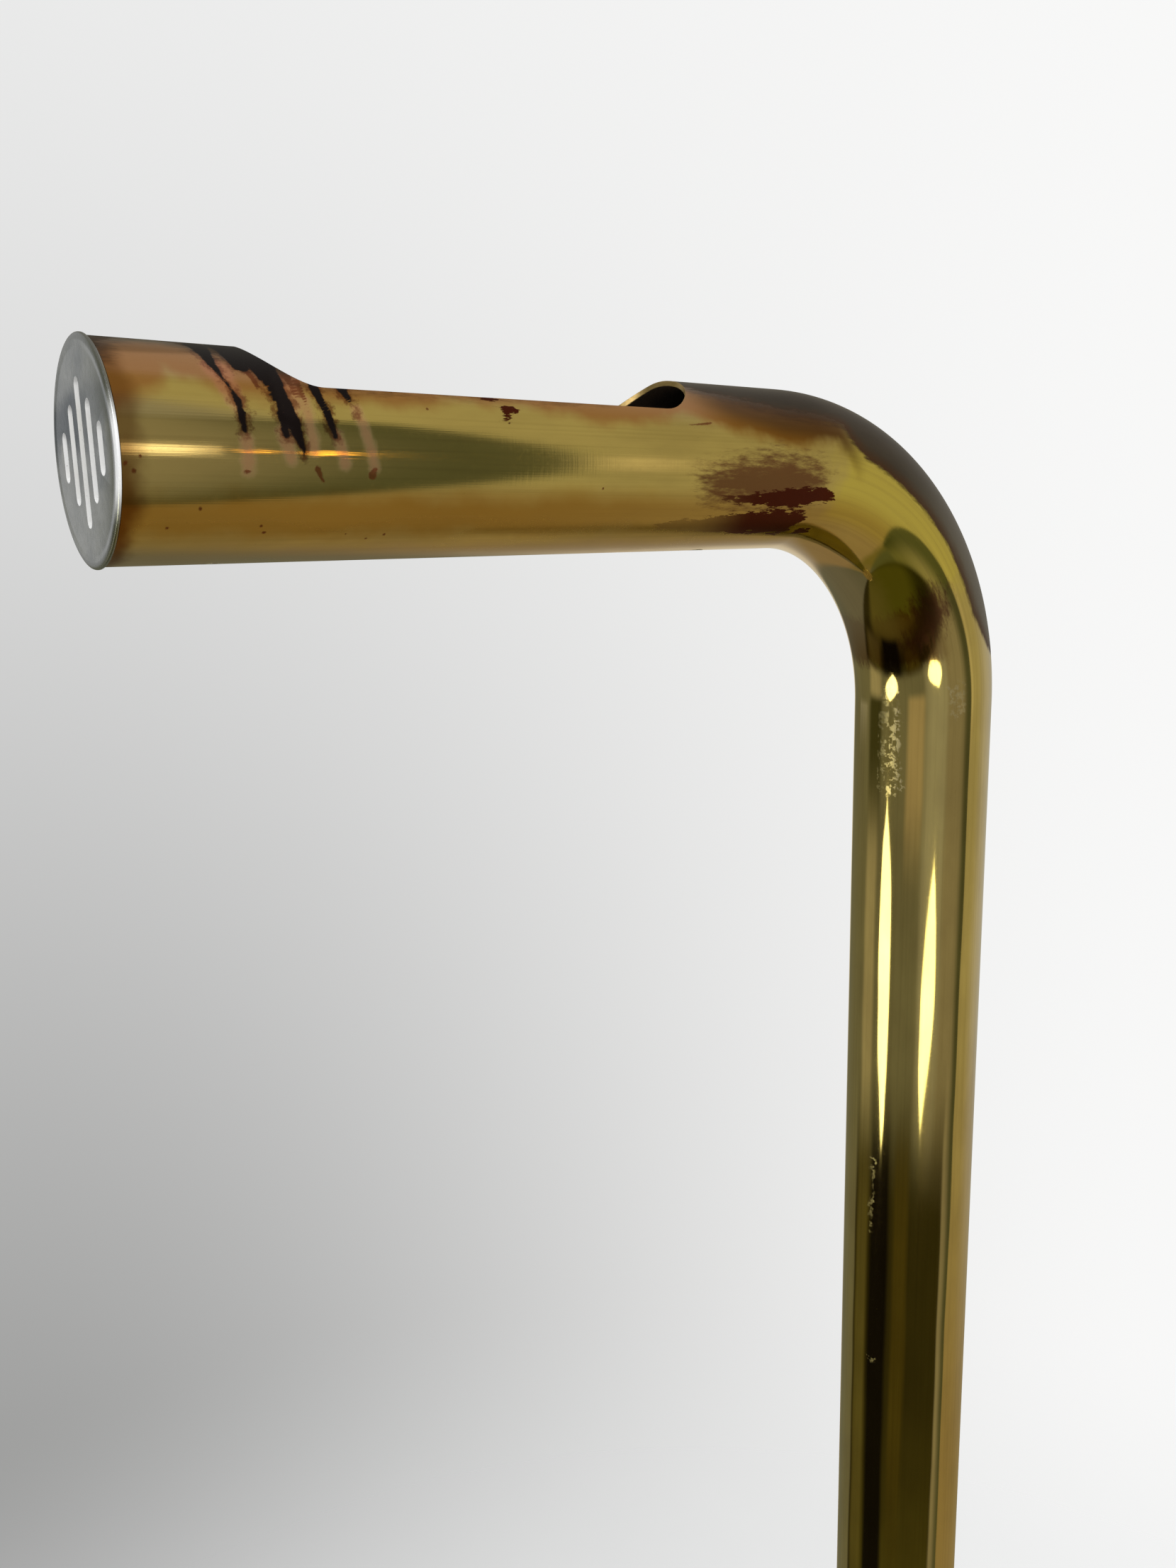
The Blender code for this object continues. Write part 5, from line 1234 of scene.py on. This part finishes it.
def build_knob():
    """A turned brass knob with a straight-knurled band, a dished face and a pointer groove."""
    steps, flutes, flute_depth = 288, 48, 0.16
    profile = [
        (0, 49.55, 0), (6, 49.6, 0), (9.2, 49.75, 0), (10.6, 50, 0), (11.6, 50, 0), (12.1, 49.8, 0),
        (12.35, 49.3, 0), (12.4, 48.7, 0), (12.75, 48.4, 0.5), (13, 48.0, 1), (13, 44, 1), (13, 39, 1),
        (13, 35.6, 1), (12.75, 35.2, 0.5), (12.4, 34.9, 0), (12.4, 33.2, 0), (12.2, 32.8, 0),
        (11.8, 32.6, 0), (9.2, 32.6, 0), (9.2, 36, 0), (3.12, 36, 0), (3.12, 46.3, 0), (0, 46.3, 0),
    ]  # (radius, height, share of the knurl) in mm
    rings = []
    for radius, height, knurl in profile:
        if radius == 0:
            rings.append([(0, 0, height * MM)])
            continue
        ring = []
        for k in range(steps):
            angle = 2 * math.pi * k / steps
            ripple = flute_depth * knurl * (1 - math.cos(flutes * angle))
            reach = (radius - ripple) * MM
            ring.append((reach * math.cos(angle), reach * math.sin(angle), height * MM))
        rings.append(ring)
    mesh = stack_rings("knurled_knob", rings, steps, on_dimmer(0), -Y_AXIS)
    knob = add_mesh("knurled_knob", mesh, POLISHED)
    groove = in_mm([(-0.5, 5), (0.5, 5), (0.5, 10.6), (0.2, 11.0), (-0.2, 11.0), (-0.5, 10.6)])
    screw_start, screw_end = on_dimmer(41 * MM, 0, -2 * MM), on_dimmer(41 * MM, 0, -15 * MM)
    cut(knob, [
        prism("pointer", groove, 49.1 * MM, 51 * MM, lambda u, v, w: on_dimmer(w, u, v)),
        cylinder_mesh("grub", screw_start, screw_end, 1.8 * MM, 32),
    ])
    smooth_shade(knob, 38)
    stand_for(knob, "dimmer_control", "polished_brass", "dimmer_knob")


# ---------------------------------------------------------------- base


def build_base():
    """The spun cover, the collar round the post's foot, the felt pad and the cord's bushing."""
    radius, top, rounding = 140 * MM, 30 * MM, 12 * MM
    sheet, rim_z, post_hole = 1.2 * MM, 1.5 * MM, 5.5 * MM
    corner = (radius - rounding, top - rounding)
    outside = [(post_hole, top)] + arc(corner, rounding, 90, 0, 14)
    outside += [(radius, rim_z + 0.5 * MM), (radius - 0.2 * MM, rim_z)]
    inside = [(radius - sheet, rim_z)] + arc(corner, rounding - sheet, 0, 90, 10)
    inside.append((post_hole, top - sheet))
    cover = lathe("brass_base_cover", outside + inside, POLISHED, steps=192, closed=True)
    cord_z = 12 * MM
    cut(cover, [
        cylinder_mesh("lead", (17.5 * MM, 0, 20 * MM), (17.5 * MM, 0, 35 * MM), 4 * MM, 32),
        cylinder_mesh("bushing", (132 * MM, 0, cord_z), (145 * MM, 0, cord_z), 5.2 * MM, 48),
    ])
    smooth_shade(cover, 32)
    stand_for(cover, "lamp", "polished_brass", "base_cover")

    low = top + 0.3 * MM
    high = low + 9 * MM
    profile = [(25.8 * MM, high - 0.3 * MM), (26.1 * MM, high), (31 * MM, high)]
    profile += arc((32 * MM, high - 4 * MM), 4 * MM, 80, 0, 10)
    profile += [(36 * MM, low + 0.3 * MM), (35.7 * MM, low), (25.8 * MM, low)]
    collar = lathe("turned_post_collar", profile, POLISHED, steps=128, closed=True)
    stand_for(collar, "lamp", "polished_brass", "post_collar")

    profile = in_mm([(0, 3), (133.4, 3), (133.9, 2.6), (134, 1.6), (133.9, 0.3), (133.6, 0), (0, 0)])
    pad = lathe("felt_floor_pad", profile, FELT, steps=128)
    stand_for(pad, "lamp", "dark_felt", "base_pad")

    profile = in_mm([
        (3.5, 142.9), (3.9, 143.3), (5.4, 143.3), (6.3, 143.0), (6.9, 142.2), (7, 141.4), (7, 140.3),
        (4.9, 140.3), (4.9, 138.3), (6.4, 138.3), (6.4, 136.5), (3.5, 136.5),
    ])
    bushing = lathe("cord_inlet_bushing", profile, BAKELITE, (0, 0, cord_z), X_AXIS, 64, closed=True)
    stand_for(bushing, "lamp", "black_plastic", "cord_bushing")


# ---------------------------------------------------------------- studio


# What reflections see of the room. Angles are in degrees: azimuth 0 is towards -Y and 90 towards +X.
# Each patch is (azimuth low, high, softness), (elevation low, high, softness), colour.
ROOM_PATCHES = [
    ((-140.0, 14.0, 8.0), (-90.0, -46.0, 9.0), (0.115, 0.104, 0.02)),
    ((-74.0, -48.0, 5.0), (-42.0, -28.0, 4.0), (0.060, 0.048, 0.008)),
    ((-120.0, -84.0, 5.0), (-48.0, -27.0, 3.0), (0.006, 0.005, 0.003)),
    ((-152.0, -126.0, 5.0), (-45.0, -28.0, 4.0), (0.095, 0.085, 0.025)),
    ((37.2, 41.0, 1.2), (-7.0, 6.0, 4.0), (0.62, 0.55, 0.32)),
    ((-74.0, -46.0, 5.0), (-14.0, 4.0, 3.0), (0.33, 0.28, 0.17)),
    ((-150.0, -122.0, 5.0), (-12.0, 10.0, 3.0), (0.045, 0.045, 0.015)),
    ((-150.0, -126.0, 5.0), (-26.0, -13.0, 3.0), (0.32, 0.30, 0.20)),
    ((-44.0, -8.0, 6.0), (-26.0, -4.0, 4.0), (0.30, 0.30, 0.23)),
]
LIGHT_PATCHES = [
    ((-102.0, -66.0, 3.0), (1.0, 26.0, 3.0), (3.2, 3.2, 3.2)),
    ((16.6, 18.6, 1.6), (-1.5, 5.0, 4.5), (3.6, 3.2, 2.3)),
    ((21.0, 22.2, 0.3), (1.4, 2.6, 0.4), (4.5, 2.3, 0.4)),
    ((24.0, 25.6, 0.3), (0.7, 2.1, 0.4), (5.5, 2.9, 0.5)),
]


def build_world():
    """Pale to the camera. Reflections see a dim room with two low windows and pale walls to one side."""
    world = bpy.data.worlds.new("studio")
    bpy.context.scene.world = world
    world.use_nodes = True
    graph = Graph(world.node_tree)
    background = world.node_tree.nodes["Background"]
    direction = graph.add("ShaderNodeTexCoord").outputs["Generated"]
    x, y, z = graph.split(direction)
    azimuth = graph.times(graph.math("ARCTAN2", x, graph.times(y, -1.0)), DEGREES)
    elevation = graph.times(graph.math("ARCSINE", z), DEGREES)

    def pane(centre, half_width, middle, half_height, lean):
        """A window whose sides bulge, as the tube's dents show it."""
        rise = graph.math("DIVIDE", graph.minus(elevation, middle), half_height)
        width = graph.scaled(graph.times(rise, rise), -half_width, half_width)
        away = graph.math("ABSOLUTE", graph.minus(azimuth, graph.scaled(rise, lean, centre)))
        return graph.smooth(graph.minus(width, away), -1.2, 1.2)

    def region(azimuths, elevations):
        return graph.times(graph.band(azimuth, *azimuths), graph.band(elevation, *elevations))

    # walls and floor of the room
    room = graph.mix(graph.smooth(elevation, 10.0, 45.0), (0.15, 0.15, 0.10), (0.27, 0.26, 0.22))
    wall = graph.mix(graph.smooth(azimuth, 50.0, 85.0), (0.37, 0.34, 0.18), (0.44, 0.43, 0.39))
    wall = graph.mix(region((118.0, 150.0, 6.0), (-24.0, 30.0, 6.0)), wall, (0.66, 0.60, 0.46))
    wall = graph.mix(graph.smooth(elevation, -42.0, -16.0, 1.0, 0.0), wall, (0.27, 0.21, 0.10))
    room = graph.mix(graph.band(azimuth, 27.0, 146.0, 4.0), room, wall)
    room = graph.mix(region((-220.0, -157.0, 5.0), (-7.0, 24.0, 3.0)), room, (0.40, 0.40, 0.39))

    # the dark middle of the room, with a bulging outline, and the dark floor below it
    bulge = graph.math("DIVIDE", graph.math("POWER", graph.math("ADD", elevation, 2.0), 2.0), 350.0)
    ahead = graph.band(graph.math("ADD", azimuth, bulge), -28.0, 36.4, 0.8)
    ahead = graph.times(ahead, graph.band(elevation, -52.0, 33.0, 3.0))
    dim = graph.mix(graph.smooth(azimuth, 17.0, 31.0), (0.24, 0.22, 0.15), (0.075, 0.08, 0.04))
    room = graph.mix(ahead, room, dim)
    below = graph.smooth(elevation, -31.0, -23.0, 1.0, 0.0)
    below = graph.times(below, graph.band(azimuth, -158.0, 14.0, 3.0))
    room = graph.mix(below, room, (0.030, 0.026, 0.006))

    # dark and lit patches of the room, then the two windows, then the other lights
    for azimuths, elevations, colour in ROOM_PATCHES:
        room = graph.mix(region(azimuths, elevations), room, colour)
    room = graph.mix(pane(-27.0, 11.0, -20.8, 5.8, 4.0), room, (3.6, 3.5, 1.9))
    room = graph.mix(pane(-104.5, 11.0, -19.5, 8.2, -3.0), room, (3.5, 3.4, 2.0))
    for azimuths, elevations, colour in LIGHT_PATCHES:
        room = graph.mix(region(azimuths, elevations), room, colour)

    # what the camera and the diffuse rays see
    rays = graph.add("ShaderNodeLightPath").outputs
    shade = graph.mix(graph.smooth(elevation, -60.0, 40.0), (0.25, 0.25, 0.245), (0.868, 0.87, 0.868))
    behind = graph.smooth(graph.math("ABSOLUTE", azimuth), 112.0, 178.0)
    pale = graph.mix(behind, (0.945, 0.945, 0.94), shade)
    soft = graph.mix(graph.smooth(elevation, -40.0, 60.0), (0.45, 0.45, 0.45), (0.95, 0.96, 0.98))
    seen = graph.mix(rays["Is Glossy Ray"], soft, room)
    seen = graph.mix(rays["Is Camera Ray"], seen, pale)
    graph.put(background.inputs["Color"], seen)


def build_floor():
    """A pale floor that fades out away from the post, and that reflections don't see."""
    solid = bmesh.new()
    bmesh.ops.create_grid(solid, x_segments=24, y_segments=24, size=FLOOR_HALF_SIZE)
    mesh = mesh_from("studio_floor", solid)
    material, graph, shader = new_material("pale_floor", Roughness=0.75, Specular_IOR_Level=0.2)
    place = graph.place()
    tone = graph.noise(place, 6.0, 3.0)
    colour = graph.mix(tone, (0.70, 0.70, 0.69), (0.73, 0.73, 0.72))
    link(graph, shader, Base_Color=colour)
    clear = graph.add("ShaderNodeBsdfTransparent")
    blend = graph.add("ShaderNodeMixShader", {0: graph.smooth(graph.length(place), *FLOOR_FADES)})
    graph.put(blend.inputs[1], shader.outputs[0])
    graph.put(blend.inputs[2], clear.outputs[0])
    output = next(node for node in material.node_tree.nodes if node.type == "OUTPUT_MATERIAL")
    graph.put(output.inputs["Surface"], blend.outputs[0])
    floor = add_mesh("studio_floor", mesh, material)
    floor.visible_glossy = False


def build_lights():
    """Three soft lights that reflections don't see."""
    for name, place, aim, size, power in LIGHTS:
        data = bpy.data.lights.new(name, "AREA")
        data.energy = power
        data.size = size
        light = bpy.data.objects.new(name, data)
        bpy.context.scene.collection.objects.link(light)
        light.location = place
        light.rotation_mode = "QUATERNION"
        light.rotation_quaternion = (Vector(place) - Vector(aim)).to_track_quat("Z", "Y")
        light.visible_glossy = False


def build_camera():
    """The view that the scene is looked at from."""
    data = bpy.data.cameras.new("camera")
    data.sensor_fit = "VERTICAL"
    data.sensor_width = SENSOR_SIZE
    data.sensor_height = SENSOR_SIZE
    data.lens = FOCAL_LENGTH
    data.clip_start = 0.02
    data.clip_end = 60.0
    camera = bpy.data.objects.new("camera", data)
    bpy.context.scene.collection.objects.link(camera)
    right = CAMERA_RIGHT.normalized()
    up = (CAMERA_UP - right * CAMERA_UP.dot(right)).normalized()
    back = right.cross(up)
    turn = Matrix((right, up, back)).transposed()
    camera.matrix_world = Matrix.Translation(CAMERA_PLACE) @ turn.to_4x4()
    bpy.context.scene.camera = camera


# ---------------------------------------------------------------- the scene


def main():
    build_camera()
    dress_cad_nodes()
    stand_for(build_tube(), "lamp", "brass", "bent_tube")
    build_cap()
    build_reflector()
    build_lamp()
    build_holders()
    build_spring()
    build_dimmer()
    build_knob()
    build_base()
    build_world()
    build_floor()
    build_lights()
    bpy.context.scene.view_settings.view_transform = "Standard"


main()
